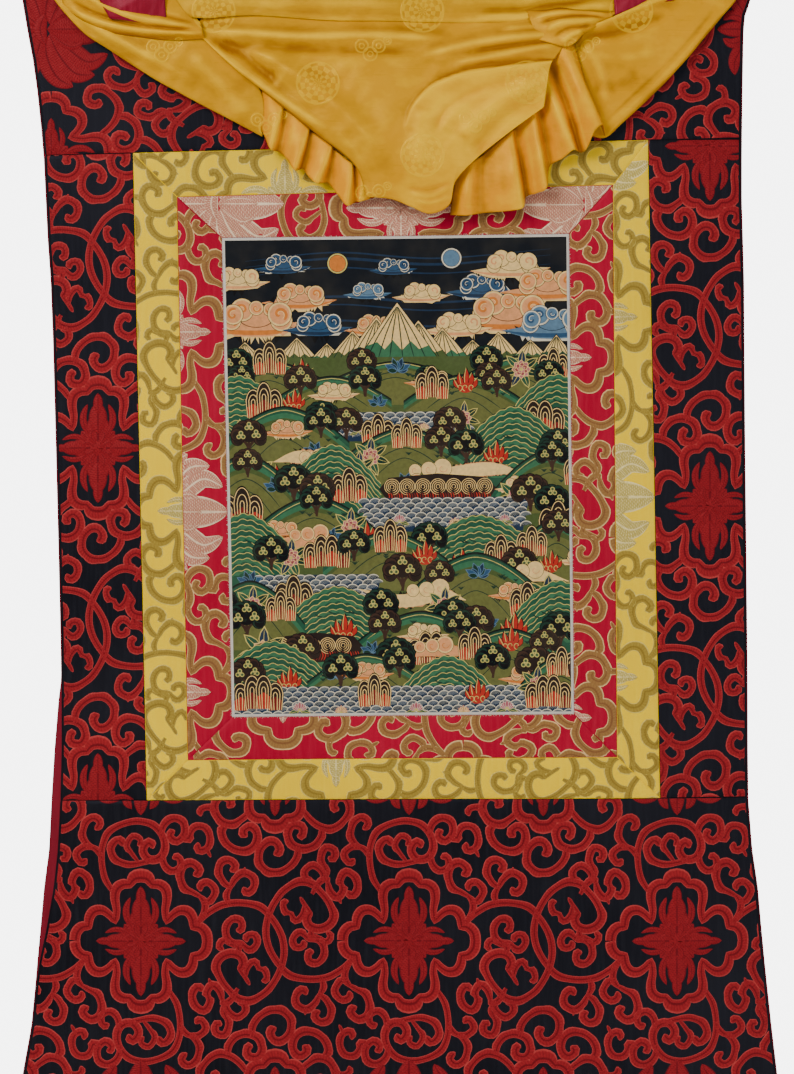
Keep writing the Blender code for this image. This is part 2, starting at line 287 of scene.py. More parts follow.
def run_of(path):
    """Length so far, direction and turning of a path."""
    steps = np.gradient(path[:, :2], axis=0)
    size = np.linalg.norm(steps, axis=1)[:, None] + 1e-9
    ahead = steps / size
    turning = np.gradient(ahead, axis=0) / size
    bend = ahead[:, 0] * turning[:, 1] - ahead[:, 1] * turning[:, 0]
    kernel = np.exp(-np.linspace(-2, 2, 7) ** 2)
    bend = np.convolve(np.pad(bend, 3, mode="edge"), kernel / kernel.sum(), mode="valid")
    return length_so_far(path[:, :2]), ahead, bend


def grid_of(work, wide, high, way=1):
    """The points of a new flat grid, column by column from the left; way is the direction of
    each column, 1 for upwards and -1 for downwards."""
    made = bmesh.ops.create_grid(work, x_segments=wide - 1, y_segments=high - 1, size=0.5)
    return sorted(made["verts"], key=lambda vert: (round(vert.co.x, 6), way * round(vert.co.y, 6)))


# %% Lay one line: a ridge for a scroll, a filled shape for a petal
SCROLL_STEP, PETAL_STEP, LINE_STEP = 2.4, 2.6, 2.2
SCROLL_HALF, THINNEST = 3.3, 0.05
ROUND_END, CLOSING = 5.0, 2.4
# across from side to side, and the height there
RIDGE_ROWS = [(-1, -0.25), (-0.8, 0.36), (-0.36, 0.52), (0, 0.24), (0.36, 0.52), (0.8, 0.36),
              (1, -0.25)]
PETAL_ROWS = [(-1, 0.0), (-0.78, 0.8), (0, 0.62), (0.78, 0.8), (1, 0.0)]


def lay_ridge(work, path, widths, rows, fill):
    """A strip of thread along a path. widths holds both half widths at each point."""
    across_layer, along_layer, fill_layer = (work.verts.layers.float[name] for name in VALUES)
    gone, ahead, _ = run_of(path)
    aside = np.stack([-ahead[:, 1], ahead[:, 0]], axis=1)
    spot = iter(grid_of(work, len(path), len(rows)))
    for i, point in enumerate(path):
        closing = 0.0 if fill else min(1.0, max(0.0, 1 - (gone[-1] - gone[i]) / CLOSING))
        for place, height in rows:
            vert = next(spot)
            x, down = point[:2] + aside[i] * (place * widths[i][1 if place > 0 else 0])
            vert.co = (x * MM, -height * (1 - 0.7 * closing) * MM, -down * MM)
            vert[across_layer] = max(abs(place), closing)
            vert[along_layer] = gone[i]
            vert[fill_layer] = fill


def lay_scroll(work, size, scalloped, points):
    """One drawn line of the scrollwork: a ridge with a sunk middle, thick on its outer side."""
    path = smooth_path(points, SCROLL_STEP)
    gone, _, bend = run_of(path)
    last = np.clip((gone - (gone[-1] - ROUND_END)) / (ROUND_END + 0.2), 0, 1)
    taper = size * np.sqrt(np.clip(1 - last ** 2, 0, 1)) * np.clip(0.75 + gone / 20, 0, 1)
    scallop = 0.82 + 0.34 * np.abs(np.sin(math.pi * gone / 12.5)) if scalloped else 1.0
    swell = [np.clip(np.maximum(side * bend, 0) * 55, 0, 3.6) * scallop for side in (1, -1)]
    widths = [(SCROLL_HALF + more) * taper + THINNEST for more in swell]
    lay_ridge(work, path, np.stack(widths, axis=1), RIDGE_ROWS, 0.0)


def lay_petal(work, half_width, lift, points):
    """A filled leaf or petal, pointed at both ends."""
    path = smooth_path(points, PETAL_STEP)
    gone = length_so_far(path[:, :2])
    width = half_width * np.sin(math.pi * np.clip(gone / gone[-1], 0, 1)) ** 0.62 + THINNEST
    rows = [(place, height * lift) for place, height in PETAL_ROWS]
    lay_ridge(work, path, np.stack([width, width], axis=1), rows, 1.0)


def lay_medallion(work):
    """The lobed line round a crossed ornament, and the ornament itself."""
    quarter = [smooth_path(run, LINE_STEP) for run in MEDALLION]
    one = np.vstack([quarter[0]] + [run[1:] for run in quarter[1:]])
    across = one * np.array([-1, 1, 1])
    half = np.vstack([across[::-1][:-1], one])
    whole = np.vstack([half, (half * np.array([1, -1, 1]))[::-1][1:]])
    widths = np.stack([whole[:, 2], np.full(len(whole), MEDALLION_INSIDE)], axis=1)
    lay_ridge(work, whole[:, :2], widths, RIDGE_ROWS, 0.0)
    for turn, reach, slim in ((0, 1.0, 1.0), (90, 0.82, 0.78), (180, 1.0, 1.0), (270, 0.82, 0.78)):
        c, s = math.cos(math.radians(turn)), math.sin(math.radians(turn))
        for half_width, lift, points in ARM:
            turned = [(c * x * slim - s * y * reach, s * x * slim + c * y * reach)
                      for x, y in points]
            lay_petal(work, half_width * slim, lift, turned)


# %% Meshes that carry the values of a thread, and copies of them
def new_work():
    """An empty mesh with the three thread values on its points."""
    work = bmesh.new()
    for name in VALUES:
        work.verts.layers.float.new(name)
    return work


def as_mesh(work, name):
    mesh = bpy.data.meshes.new(name)
    work.to_mesh(mesh)
    work.free()
    return mesh


def moved_copy(work, source, quarters, shift):
    """Adds a copy of another mesh, turned clockwise by quarters and moved across and down."""
    first = len(work.verts)
    work.from_mesh(source)
    work.verts.ensure_lookup_table()
    new = work.verts[first:]
    if quarters:
        turn = Matrix.Rotation(quarters * math.pi / 2, 3, "Y")
        bmesh.ops.rotate(work, verts=new, cent=(0, 0, 0), matrix=turn)
    bmesh.ops.translate(work, verts=new, vec=(shift[0] * MM, 0, -shift[1] * MM))


# %% Weave the repeat and the lotus
half, medallion, work = new_work(), new_work(), new_work()
for scroll in SCROLLS:
    lay_scroll(half, *scroll)
lay_medallion(medallion)
half_mesh, medallion_mesh = as_mesh(half, "half_repeat"), as_mesh(medallion, "medallion")
for source, quarters, shift in ((half_mesh, 0, (0, 0)), (half_mesh, 2, (0, 0)),
                                (medallion_mesh, 0, (0, 0)),
                                (medallion_mesh, 0, (REPEAT[0] / 2, REPEAT[1] / 2))):
    moved_copy(work, source, quarters, shift)
repeat_mesh = as_mesh(work, "repeat")
work = new_work()
for half_width, lift, points in LOTUS_SIDE:
    lay_petal(work, half_width, lift, points)
    lay_petal(work, half_width, lift, [(-x, y) for x, y in points])
for one_petal in LOTUS_MIDDLE:
    lay_petal(work, *one_petal)
lotus_mesh = as_mesh(work, "lotus")
print("points in one repeat:", len(repeat_mesh.vertices), "in a lotus:", len(lotus_mesh.vertices))

# %% [markdown]
# ## Cutting and hanging the cloths
#
# Every ground cloth is a grid stretched between its four seam lines, so its threads follow
# the cut. The rows crowd together at the seams, where the turned edges sink between two
# cloths. The raised scrolls of a cloth are copies of the repeat, cut off along the same
# straight seams with `bisect_plane` and bent onto the same surface. They are a piece of
# their own, which keeps each piece light and lets the ground and the thread differ.

# %% The seam valleys
SEAM_DEPTH, SEAM_WIDTH = 0.9, 1.7
HEM_DEPTH, HEM_WIDTH = 1.6, 4.0


def closed(outline):
    """The sides of an outline, each as its two ends."""
    return list(zip(outline, outline[1:] + outline[:1]))


SEAMS = closed(YELLOW_OUTER) + closed(RED_OUTER) + closed(CANVAS_OUTER)
SEAMS += [((-347.0, TOP_SEAM[0]), YELLOW_OUTER[0]), (YELLOW_OUTER[1], (351.0, TOP_SEAM[1])),
          ((-330.0, FOOT_SEAM[0]), YELLOW_OUTER[3]), (YELLOW_OUTER[2], (358.0, FOOT_SEAM[1]))]
SEAMS += list(zip(YELLOW_OUTER, RED_OUTER)) + list(zip(RED_OUTER, CANVAS_OUTER))


def from_side(x, y, start, end):
    """Distance from a straight line, and the share of the way along it."""
    (x0, y0), (x1, y1) = start, end
    size = (x1 - x0) ** 2 + (y1 - y0) ** 2
    share = np.clip(((x - x0) * (x1 - x0) + (y - y0) * (y1 - y0)) / size, 0, 1)
    return np.hypot(x - x0 - share * (x1 - x0), y - y0 - share * (y1 - y0)), share


def seam_dip(across, down):
    """How far the turned edges sink at the seams and at the two side hems."""
    near = np.min([from_side(across, down, *seam)[0] for seam in SEAMS], axis=0)
    dip = SEAM_DEPTH * np.exp(-(near / SEAM_WIDTH) ** 2)
    hem = np.minimum(across - edge("front_left", down), edge("front_right", down) - across)
    return dip + HEM_DEPTH * np.clip(1 - hem / HEM_WIDTH, 0, 1) ** 2


def front(across, down):
    """The middle of the front cloth, from the flat, in millimetres."""
    return hang(across, down) + dents(across, down) + seam_dip(across, down)


# %% A grid of cloth between four lines
RIM = (0, 1.0, 2.2, 4.5)


def along_line(points, shares):
    """Places at shares of the length of a line of points."""
    gone = length_so_far(points)
    return at_lengths(points, gone, shares * gone[-1])


def crowded(length, cell):
    """Shares from 0 to 1 that are close together at both ends."""
    count = max(2, int(round((length - 2 * RIM[-1]) / cell)))
    inner = list(np.linspace(RIM[-1], length - RIM[-1], count + 1))
    return np.array(list(RIM[:-1]) + inner + [length - r for r in RIM[-2::-1]]) / length


def patch(top, foot, left, right, us, vs):
    """Points of a grid between four lines that meet at the corners, as us x vs x 2."""
    t, b = along_line(top, us)[:, None], along_line(foot, us)[:, None]
    l, r = along_line(left, vs)[None], along_line(right, vs)[None]
    u, v = us[:, None, None], vs[None, :, None]
    corners = ((1 - u) * (1 - v) * t[0, 0] + u * (1 - v) * t[-1, 0]
               + (1 - u) * v * b[0, 0] + u * v * b[-1, 0])
    return (1 - v) * t + v * b + (1 - u) * l + u * r - corners


def grid_mesh(name, places, fold=None):
    """A mesh from a grid of points in millimetres: across, back from the flat, down. Its UV
    map is the place across and down, and fold is one more value to store on each point: the
    veil's painted fold shading."""
    work = bmesh.new()
    layer = work.loops.layers.uv.new("cloth")
    fold_shading_layer = None if fold is None else work.verts.layers.float.new("fold")
    order = grid_of(work, *places.shape[:2], way=-1)
    for vert, (across, back, down) in zip(order, places.reshape(-1, 3)):
        vert.co = (across * MM, back * MM, -down * MM)
    if fold_shading_layer:
        for vert, value in zip(order, fold.ravel().tolist()):
            vert[fold_shading_layer] = value
    for face in work.faces:
        face.smooth = True
        for loop in face.loops:
            loop[layer].uv = loop.vert.co.xz
    work.normal_update()
    if sum(face.normal.y * face.calc_area() for face in work.faces) > 0:
        bmesh.ops.reverse_faces(work, faces=work.faces[:])
    return as_mesh(work, name)


def add_object(name, mesh, slot, node_names, thickness=0.0):
    """Puts a mesh in the scene as a piece of the scroll."""
    piece = bpy.data.objects.new(name, mesh)
    bpy.context.scene.collection.objects.link(piece)
    if thickness:
        solid = piece.modifiers.new("thickness", "SOLIDIFY")
        solid.thickness = thickness * MM
        solid.offset = 0.0
    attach(piece, "root")
    if node_names:
        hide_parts(*node_names)
    return piece


def face_front(work):
    """Turns every face of an open mesh towards the front."""
    work.normal_update()
    wrong = [face for face in work.faces if face.normal.y > 0]
    bmesh.ops.reverse_faces(work, faces=wrong)


def as_sheet(piece, places, held, trimmings=()):
    """Measures a piece of cloth before it was hung: the longest way across and down, both along
    the cloth on its grid of places. The sizes are not kept or used."""
    across, down = (float(np.linalg.norm(np.diff(places, axis=way), axis=2).sum(axis=way).max())
                    for way in (0, 1))


# %% The outlines of the cloths: top, foot, left and right line of each
CELL = 8.0
upper_left, upper_right, lower_right, lower_left = YELLOW_OUTER
# the left and right end of the top seam, and of the foot seam
top_left, foot_left = (edge_point("front_left", seam[0]) for seam in (TOP_SEAM, FOOT_SEAM))
top_right, foot_right = (edge_point("front_right", seam[1]) for seam in (TOP_SEAM, FOOT_SEAM))


def both_sides(start, end):
    """Both side edges of the front between two pairs of heights, left and right."""
    return [side_points(name, *heights) for name, heights
            in zip(("front_left", "front_right"), zip(start, end))]


LEFT_SIDE, RIGHT_SIDE = both_sides(TOP_SEAM, FOOT_SEAM)
CLOTHS = {
    "panel_top": ([edge_point("front_left", 0), edge_point("front_right", 0)],
                  [top_left, upper_left, upper_right, top_right], *both_sides((0, 0), TOP_SEAM)),
    "panel_foot": ([foot_left, lower_left, lower_right, foot_right],
                   [edge_point("front_left", LENGTH), edge_point("front_right", LENGTH)],
                   *both_sides(FOOT_SEAM, (LENGTH, LENGTH))),
    "panel_left": ([top_left, upper_left], [foot_left, lower_left],
                   LEFT_SIDE, [upper_left, lower_left]),
    "panel_right": ([upper_right, top_right], [lower_right, foot_right],
                    [upper_right, lower_right], RIGHT_SIDE),
    "painting": tuple([CANVAS_OUTER[i], CANVAS_OUTER[k]]
                      for i, k in ((0, 1), (3, 2), (0, 3), (1, 2))),
}
for colour, (a, b, c, d), (e, f, g, h) in (("yellow", YELLOW_OUTER, RED_OUTER),
                                           ("red", RED_OUTER, CANVAS_OUTER)):
    CLOTHS.update({colour + "_top": ([a, b], [e, f], [a, e], [b, f]),
                   colour + "_foot": ([h, g], [d, c], [h, d], [g, c]),
                   colour + "_left": ([a, e], [d, h], [a, d], [e, h]),
                   colour + "_right": ([f, b], [g, c], [f, g], [b, c])})

# %% Cut and hang each cloth
SLOTS = {"panel": "brocade_black", "yellow": "brocade_yellow", "red": "brocade_red",
         "painting": "canvas"}
grounds, cut_places = {}, {}
for name, (top, foot, left, right) in CLOTHS.items():
    us, vs = (crowded((length_so_far(one)[-1] + length_so_far(other)[-1]) / 2, CELL)
              for one, other in ((top, foot), (left, right)))
    flat = patch(top, foot, left, right, us, vs)
    places = np.stack([flat[..., 0], front(flat[..., 0], flat[..., 1]), flat[..., 1]], axis=2)
    cut_places[name] = places
    grounds[name] = add_object(name + "_cloth", grid_mesh(name + "_cloth", places),
                               SLOTS[name.split("_")[0]], [name], CLOTH)
print("cloths hung:", len(grounds))

# %% The raised scrolls of each cloth
RAISE = CLOTH / 2 + 0.02
# Where a medallion of the repeat lies on each cloth, how many quarter turns the cloth is
# laid at, and the lotus flowers: across, down, quarter turns.
LAID_OUT = {
    "panel_top": ((-159, 89), 1, [(-339, 89, 1), (381, 89, 1)]),
    "panel_foot": ((-249, 1001), 0, [(-249 + REPEAT[0] * i, 821 + REPEAT[1] * j, 0)
                                     for i in range(3) for j in range(2)]),
    "panel_left": ((-426, 328), 0, []),
    "panel_right": ((186, 386), 0, []),
    "yellow_top": ((75, 130), 1, []),
    "yellow_foot": ((126, 668), 1, []),
    "yellow_left": ((-321.5, 391), 0, []),
    "yellow_right": ((202.5, 377), 0, [(202.5, 197, 1), (202.5, 557, 1)]),
    "red_top": ((11, 268), 1, [(-168, 264, 1), (191, 265, 3)]),
    "red_foot": ((73, 604), 1, []),
    "red_left": ((-224, 392), 0, [(-224, 572, 1)]),
    "red_right": ((22.6, 237.5), 0, []),
}
# how far the scrolls keep from a straight seam and from a side edge, and how far off a
# repeat can still reach onto the cloth
STRAIGHT_INSET, SIDE_INSET, REACH = 0.5, 2.0, 420


def straight_seams(name):
    """Two points of each straight side, in the order that has the cloth on the right."""
    top, foot, left, right = CLOTHS[name]
    for line in (top, right, foot[::-1], left[::-1]):
        if len(line) == 4:
            yield line[1], line[2]
        elif len(line) == 2:
            yield line[0], line[1]


def kept_inside(work):
    """The points in millimetres, and their places across, moved in from the side edges."""
    places = np.array([vert.co[:] for vert in work.verts]) / MM
    low, high = (edge(name, -places[:, 2]) for name in ("front_left", "front_right"))
    return places, np.clip(places[:, 0], low + SIDE_INSET, high - SIDE_INSET)


def relief(name):
    """The raised scrolls of one cloth."""
    corners = np.array([point for line in CLOTHS[name] for point in line], dtype=float)
    low, high = corners.min(axis=0) - REACH, corners.max(axis=0) + REACH
    start, quarters, flowers = LAID_OUT[name]
    pitch = REPEAT[::-1] if quarters % 2 else REPEAT
    work = new_work()
    for i in range(-4, 5):
        for j in range(-4, 5):
            spot = np.array(start) + np.array(pitch) * (i, j)
            if np.all((low < spot) & (spot < high)):
                moved_copy(work, repeat_mesh, quarters, spot)
    for *spot, turns in flowers:
        moved_copy(work, lotus_mesh, turns, spot)
    for (x0, z0), (x1, z1) in straight_seams(name):
        out = np.array([z1 - z0, x0 - x1], dtype=float)
        out /= np.linalg.norm(out)
        at = np.array([x0, z0]) - out * STRAIGHT_INSET
        bmesh.ops.bisect_plane(work, geom=work.verts[:] + work.edges[:] + work.faces[:],
                               dist=1e-7, clear_outer=True, plane_no=(out[0], 0, -out[1]),
                               plane_co=(at[0] * MM, 0, -at[1] * MM))
    places, across = kept_inside(work)
    for vert, outside in zip(work.verts, places[:, 0] != across):
        vert.tag = bool(outside)
    gone = [face for face in work.faces if all(vert.tag for vert in face.verts)]
    bmesh.ops.delete(work, geom=gone, context="FACES")
    places, across = kept_inside(work)
    depth = front(across, -places[:, 2]) - RAISE + places[:, 1]
    for vert, x, y in zip(work.verts, across, depth):
        vert.co.x, vert.co.y = x * MM, y * MM
    face_front(work)
    for face in work.faces:
        face.smooth = True
    mesh = as_mesh(work, name + "_scrolls")
    return add_object(name + "_scrolls", mesh, SLOTS[name.split("_")[0]], None)


scrolls = {name: relief(name) for name in LAID_OUT}
print("raised scrolls, faces:",
      {name: len(piece.data.polygons) for name, piece in scrolls.items()})

# %% [markdown]
# ## The painting
#
# The picture is a plain landscape in the mineral pigments and at the fineness of such scrolls:
# a night sky with banks of cloud, snow peaks, rounded hills with contour lines, standing
# rocks, trees, flowers and water. A scroll painter works from the back of the scene to the
# front, one flat colour over another, and the code keeps that order. It could stack thousands
# of thin faces, but they would flicker against each other and most of them would be hidden.
# Instead every touch of the brush is only an outline with a pigment. The outlines that still
# show at the end go to Blender's Delaunay operator, which makes one flat sheet of triangles
# with an edge along each of them, and every triangle takes the pigment of the last touch
# above it.

# %% Pigments, and the two ways to lay them
# red, green and blue of each pigment
PIGMENTS = {
    "night": (0.007, 0.009, 0.013), "line": (0.004, 0.004, 0.005), "umber": (0.022, 0.013, 0.010),
    "brown": (0.050, 0.023, 0.015), "maroon": (0.19, 0.013, 0.012), "red": (0.46, 0.026, 0.016),
    "orange": (0.66, 0.19, 0.03), "salmon": (0.78, 0.33, 0.13), "cream": (0.90, 0.60, 0.22),
    "gold": (0.60, 0.48, 0.13), "white": (0.72, 0.64, 0.48), "grey": (0.25, 0.27, 0.27),
    "slate": (0.07, 0.085, 0.09), "deep": (0.012, 0.030, 0.065), "blue": (0.025, 0.075, 0.15),
    "pale": (0.11, 0.20, 0.29), "pine": (0.010, 0.035, 0.022), "green": (0.018, 0.085, 0.045),
    "fern": (0.040, 0.150, 0.070), "moss": (0.070, 0.100, 0.028), "olive": (0.135, 0.140, 0.038),
    "leaf": (0.11, 0.17, 0.06), "pink": (0.50, 0.15, 0.17), "rose": (0.30, 0.05, 0.07),
}
PAINT_WIDE, PAINT_HIGH, MARGIN = 341.0, 474.0, 2.8
dice = np.random.default_rng(11)
touches = []


def on_sheet(points):
    """The points, kept inside the picture."""
    return np.clip(np.asarray(points, dtype=float), 0, (PAINT_WIDE, PAINT_HIGH))


def touch(points, pigment):
    """A flat area of one pigment inside an outline, over all that is painted so far."""
    outline = on_sheet(points)
    x, y = outline.T
    area = float(np.sum(x * np.roll(y, -1) - np.roll(x, -1) * y)) / 2
    if abs(area) > 0.02:
        touches.append((outline if area > 0 else outline[::-1], None, pigment))


def stroke(points, width, pigment, taper=True, step=1.7):
    """A brush line; width is one number, or one for each point."""
    widths = np.broadcast_to(width, len(points))
    path = smooth_path([(x, y, w) for (x, y), w in zip(points, widths)], step)
    _, ahead, _ = run_of(path)
    share = np.linspace(0.04, 0.96, len(path))
    half = path[:, 2] / 2 * (np.clip(np.sin(math.pi * share) * 2.4, 0.15, 1) if taper else 1)
    side = np.stack([-ahead[:, 1], ahead[:, 0]], axis=1) * half[:, None]
    touches.append((on_sheet(path[:, :2] + side), on_sheet(path[:, :2] - side), pigment))


# %% Round shapes: arcs, discs and curls
def arc(s, t, reach, angles, flat=1.0):
    """Points round a middle; flat is the height for the width."""
    return np.stack([s + reach * np.cos(angles), t + reach * flat * np.sin(angles)], axis=1)


def disc(s, t, radius, pigment, flat=1.0, count=16):
    touch(arc(s, t, radius, np.linspace(0, math.tau, count, endpoint=False), flat), pigment)


def spiral(s, t, radius, turns, start, hand=1, tight=0.85):
    """A curl that winds inwards; hand is 1 or -1 for the way it turns."""
    share = np.linspace(0, 1, 18)
    return arc(s, t, radius * (1 - tight * share), start + hand * turns * math.tau * share)


def around(s, t, wide, high, shape):
    """Points that are given as shares of a width and a height, seen from the foot."""
    return [(s + wide * x, t - high * y) for x, y in shape]


# %% Hills: a round crest, and what is drawn on it
CREST_POWER = 1.7
SCALLOP, SCALE_ROW = 10.0, 5.6
FAN = (-1, -0.5, 0, 0.5, 1)


def crest(s, t, wide, high, drop=0.0, bumps=0.0, count=34):
    """The top line of a hill, moved down by drop, with small scallops if bumps is given."""
    u = np.linspace(-1, 1, count)
    x = s + u * wide / 2
    y = t + drop - high * (1 - np.abs(u) ** CREST_POWER)
    if bumps:
        y = y - 1.9 * np.abs(np.sin(math.pi * (x / bumps + 0.37 * drop)))
    return np.stack([x, y], axis=1)


def plain_hill(s, t, wide, high):
    """A smooth hill in bands of green, with three contour lines and tufts of grass."""
    foot = [(s + wide / 2, t + 26), (s - wide / 2, t + 26)]
    for drop, pigment in ((0.0, "line"), (1.3, "pine"), (2.6, "green"), (high * 0.20, "fern"),
                          (high * 0.34, "moss"), (high * 0.46, "olive")):
        touch(np.vstack([crest(s, t, wide, high, drop), foot]), pigment)
    for share, width, pigment in ((0.12, 0.7, "gold"), (0.62, 0.9, "pine"), (0.92, 0.8, "pine")):
        stroke(crest(s, t, wide * (1 - share * 0.4), high, high * share)[3:-3], width, pigment)
    for _ in range(int(wide / 13)):
        x = float(dice.uniform(-0.42, 0.42)) * wide
        rise = high * (1 - abs(2 * x / wide) ** CREST_POWER)
        y = t - rise * float(dice.uniform(0.15, 0.75)) + 4
        size = float(dice.uniform(2.6, 4.4))
        for lean in FAN:
            blade = around(s + x, y, size, size, [(0, 0), (lean * 0.5, 0.6), (lean, 1)])
            stroke(blade, 0.8, "pine")


def scaled_hill(s, t, wide, high):
    """A hill drawn in scalloped rows, each a gold line over a soft shadow."""
    foot = [(s + wide / 2, t + 24), (s - wide / 2, t + 24)]
    touch(np.vstack([crest(s, t, wide, high, 0, SCALLOP), foot]), "pine")
    for row in range(int((high + 20) / SCALE_ROW)):
        drop = row * SCALE_ROW + 0.7
        rim, low = (crest(s, t, wide, high, down, SCALLOP, int(wide / 2))
                    for down in (drop, drop + 3.6))
        touch(np.vstack([rim, foot]), "green" if row % 2 else "fern")
        touch(np.vstack([low, foot]), "green")
        stroke(rim, 0.7, "gold", taper=False, step=1.6)
    for x in dice.uniform(-0.4, 0.4, int(wide / 16)):
        y = t - high * 0.55 * (1 - abs(2 * x) ** CREST_POWER) + 6
        stroke([(s + x * wide, y), (s + x * wide + 3, y + 2.4), (s + x * wide + 8, y + 3.2)],
               1.2, "pine")


# %% Peaks and rocks
RIDGE = [(-0.5, 0), (-0.23, 0.56), (0, 1), (0.25, 0.52), (0.5, 0)]
SNOW_FOOT = [(0.37, 0.26), (0.26, 0.2), (0.16, 0.34), (0.05, 0.18), (-0.06, 0.36), (-0.16, 0.2),
             (-0.25, 0.33), (-0.36, 0.27)]


def peak(s, t, wide, high, body):
    """A snow peak: a dark outline, a green foot, and snow with dark gullies."""
    ridge = around(s, t, wide, high, RIDGE)
    touch([(x, y - 1.1) for x, y in ridge] + [ridge[-1], ridge[0]], "line")
    touch(ridge, body)
    touch(ridge[1:4] + around(s, t, wide, high, SNOW_FOOT), "cream")
    for side in (-0.38, -0.24, -0.1, 0.06, 0.2, 0.34):
        gully = [(s + side * 2, t - high * 0.93)]
        gully += around(s, t, wide, high, [(side * 0.6, 0.45), (side, 0.04)])
        stroke(gully, 0.6 + high * 0.01, "pine")


def slab(s, t, wide, high, foot):
    """A standing rock: dark, with nested pale lines and a red glow at its foot."""
    def arch(share):
        reach = wide / 2 * share
        body = arc(s, t - high * 0.55, reach, np.linspace(-math.pi, 0, 15), 0.9 * high / wide)
        return np.vstack([[(s - reach * 0.8, t)], body, [(s + reach * 0.8, t)]])
    touch(arch(1.12), "line")
    touch(arch(1.0), "umber")
    touch(around(s, t, wide, high, [(-0.42, 0), (-0.46, 0.36), (0, 0.5), (0.46, 0.36), (0.42, 0)]),
          foot)
    for share in (1.0, 0.62, 0.26):
        stroke(arch(share), 0.8, "cream", taper=False)


def rocks(s, t, size, count):
    """A row of standing rocks, the tallest in the middle and in front."""
    for i in sorted(range(count), key=lambda i: -abs(i - (count - 1) / 2)):
        off = i - (count - 1) / 2
        slab(s + off * size * 0.62, t + abs(off) * 1.5, size * 0.8,
             size * (1.9 - 0.32 * abs(off)), "maroon" if i % 2 else "red")


def bank(s0, s1, t):
    """A cut bank of earth: a row of curls over a red fringe."""
    middle = (s0 + s1) / 2
    touch([(s0, t), (s0 + 10, t - 11), (middle, t - 15), (s1 - 10, t - 11), (s1, t),
           (s1 - 8, t + 12), (middle, t + 15), (s0 + 8, t + 12)], "umber")
    for x in np.arange(s0 + 9, s1 - 5, 2.6):
        stroke([(x, t + 4), (x + 1.4, t + 8), (x - 0.6, t + 13)], 1.1,
               "red" if int(x) % 2 else "maroon")
    for i, x in enumerate(np.arange(s0 + 13, s1 - 9, 15.5)):
        for radius in (8.2, 6.2, 4.2, 2.2):
            stroke(spiral(x, t - 2, radius, 0.94, 1.5, 1 if i % 2 else -1, 0.12), 0.65, "cream")


# %% Cloud, mist and water
CLOUD_TONES = {"dawn": ("salmon", "orange", "cream"), "snow": ("cream", "salmon", "cream"),
               "dusk": ("blue", "deep", "white"), "storm": ("pale", "blue", "white")}
CLOUD_HEADS = 7


def cloud(s, t, size, tones):
    """A bank of cloud: a long tail, and heads that each curl round a dark heart."""
    body, shade, rim = CLOUD_TONES[tones]
    for high, width, pigment in ((-0.9, 1.15, "line"), (-0.9, 1.0, rim), (-0.86, 0.8, body),
                                 (-1.05, 0.25, shade)):
        tail = [(-3.4, -0.75), (-1.4, high), (1.2, high), (3.2, -0.55)]
        widths = [0.3, size * width, size * width, 0.3]
        stroke(around(s, t, size, size, tail), widths, pigment, False)
    for radius, pigment in ((1.12, "line"), (1.06, body)):
        disc(s, t + size * 0.1, size * radius, pigment, 0.62, 24)
    for i in range(CLOUD_HEADS):
        angle = math.pi * (1.06 - 1.12 * (i * 2 % CLOUD_HEADS) / (CLOUD_HEADS - 1.0))
        x, y = s + 1.5 * size * math.cos(angle), t - 0.62 * size * math.sin(angle) + 0.25 * size
        r, hand = size * (0.56 + 0.16 * math.sin(i * 2.3)), 1 if i % 2 else -1
        for radius, pigment in ((r + 0.5, "line"), (r, rim), (r * 0.84, body)):
            disc(x, y, radius, pigment, count=20)
        stroke(spiral(x, y, r * 0.62, 0.95, 1.2 + i, hand), r * 0.24, shade)
        stroke(spiral(x, y, r * 0.46, 0.8, 1.4 + i, hand), 0.6, rim)


def mist(points, width, tones="snow"):
    """A ribbon of ground mist that ends in a curl."""
    body, shade, rim = CLOUD_TONES[tones]
    for grow, pigment in ((2.6, "line"), (1.4, shade), (0.0, body)):
        stroke(points, [0.5] + [width + grow] * (len(points) - 2) + [0.5], pigment, False, 2.4)
    x, y = points[-2]
    for i, r in enumerate((width * 0.75, width * 0.6, width * 0.5)):
        spot = (x - i * width * 1.1, y - width * 0.5 + i)
        for radius, pigment in ((r + 0.4, "line"), (r, rim), (r * 0.82, body)):
            disc(*spot, radius, pigment)
        stroke(spiral(*spot, r * 0.55, 0.85, i), 0.7, shade)


WAVE_WIDE, WAVE_ROW = 10.5, 10.5 * 0.46
WAVE_ANGLES = np.linspace(-math.pi * 1.05, -math.pi * 0.12, 9)


def water(s0, s1, t0, rows):
    """Rows of rolling waves, each a fan of pale lines on dark water."""
    foot = t0 + rows * WAVE_ROW
    touch([(s0, t0), (s0 + 8, t0 - WAVE_ROW), (s1 - 8, t0 - WAVE_ROW), (s1, t0), (s1 - 6, foot),
           (s0 + 6, foot)], "deep")
    for row in range(rows):
        for i in range(int((s1 - s0) / WAVE_WIDE)):
            s = s0 + (i + (0.75 if row % 2 else 0.25)) * WAVE_WIDE + float(dice.uniform(-1, 1))
            fan = [arc(s, t0 + row * WAVE_ROW, WAVE_WIDE * 0.56 * share, WAVE_ANGLES, 0.78)
                   for share in (1.0, 0.76, 0.52, 0.28)]
            touch(fan[0], ("slate", "deep", "line")[(i + row) % 3])
            stroke(fan[0], 0.9, "white")
            for line in fan[1:]:
                stroke(line, 0.5, "grey")


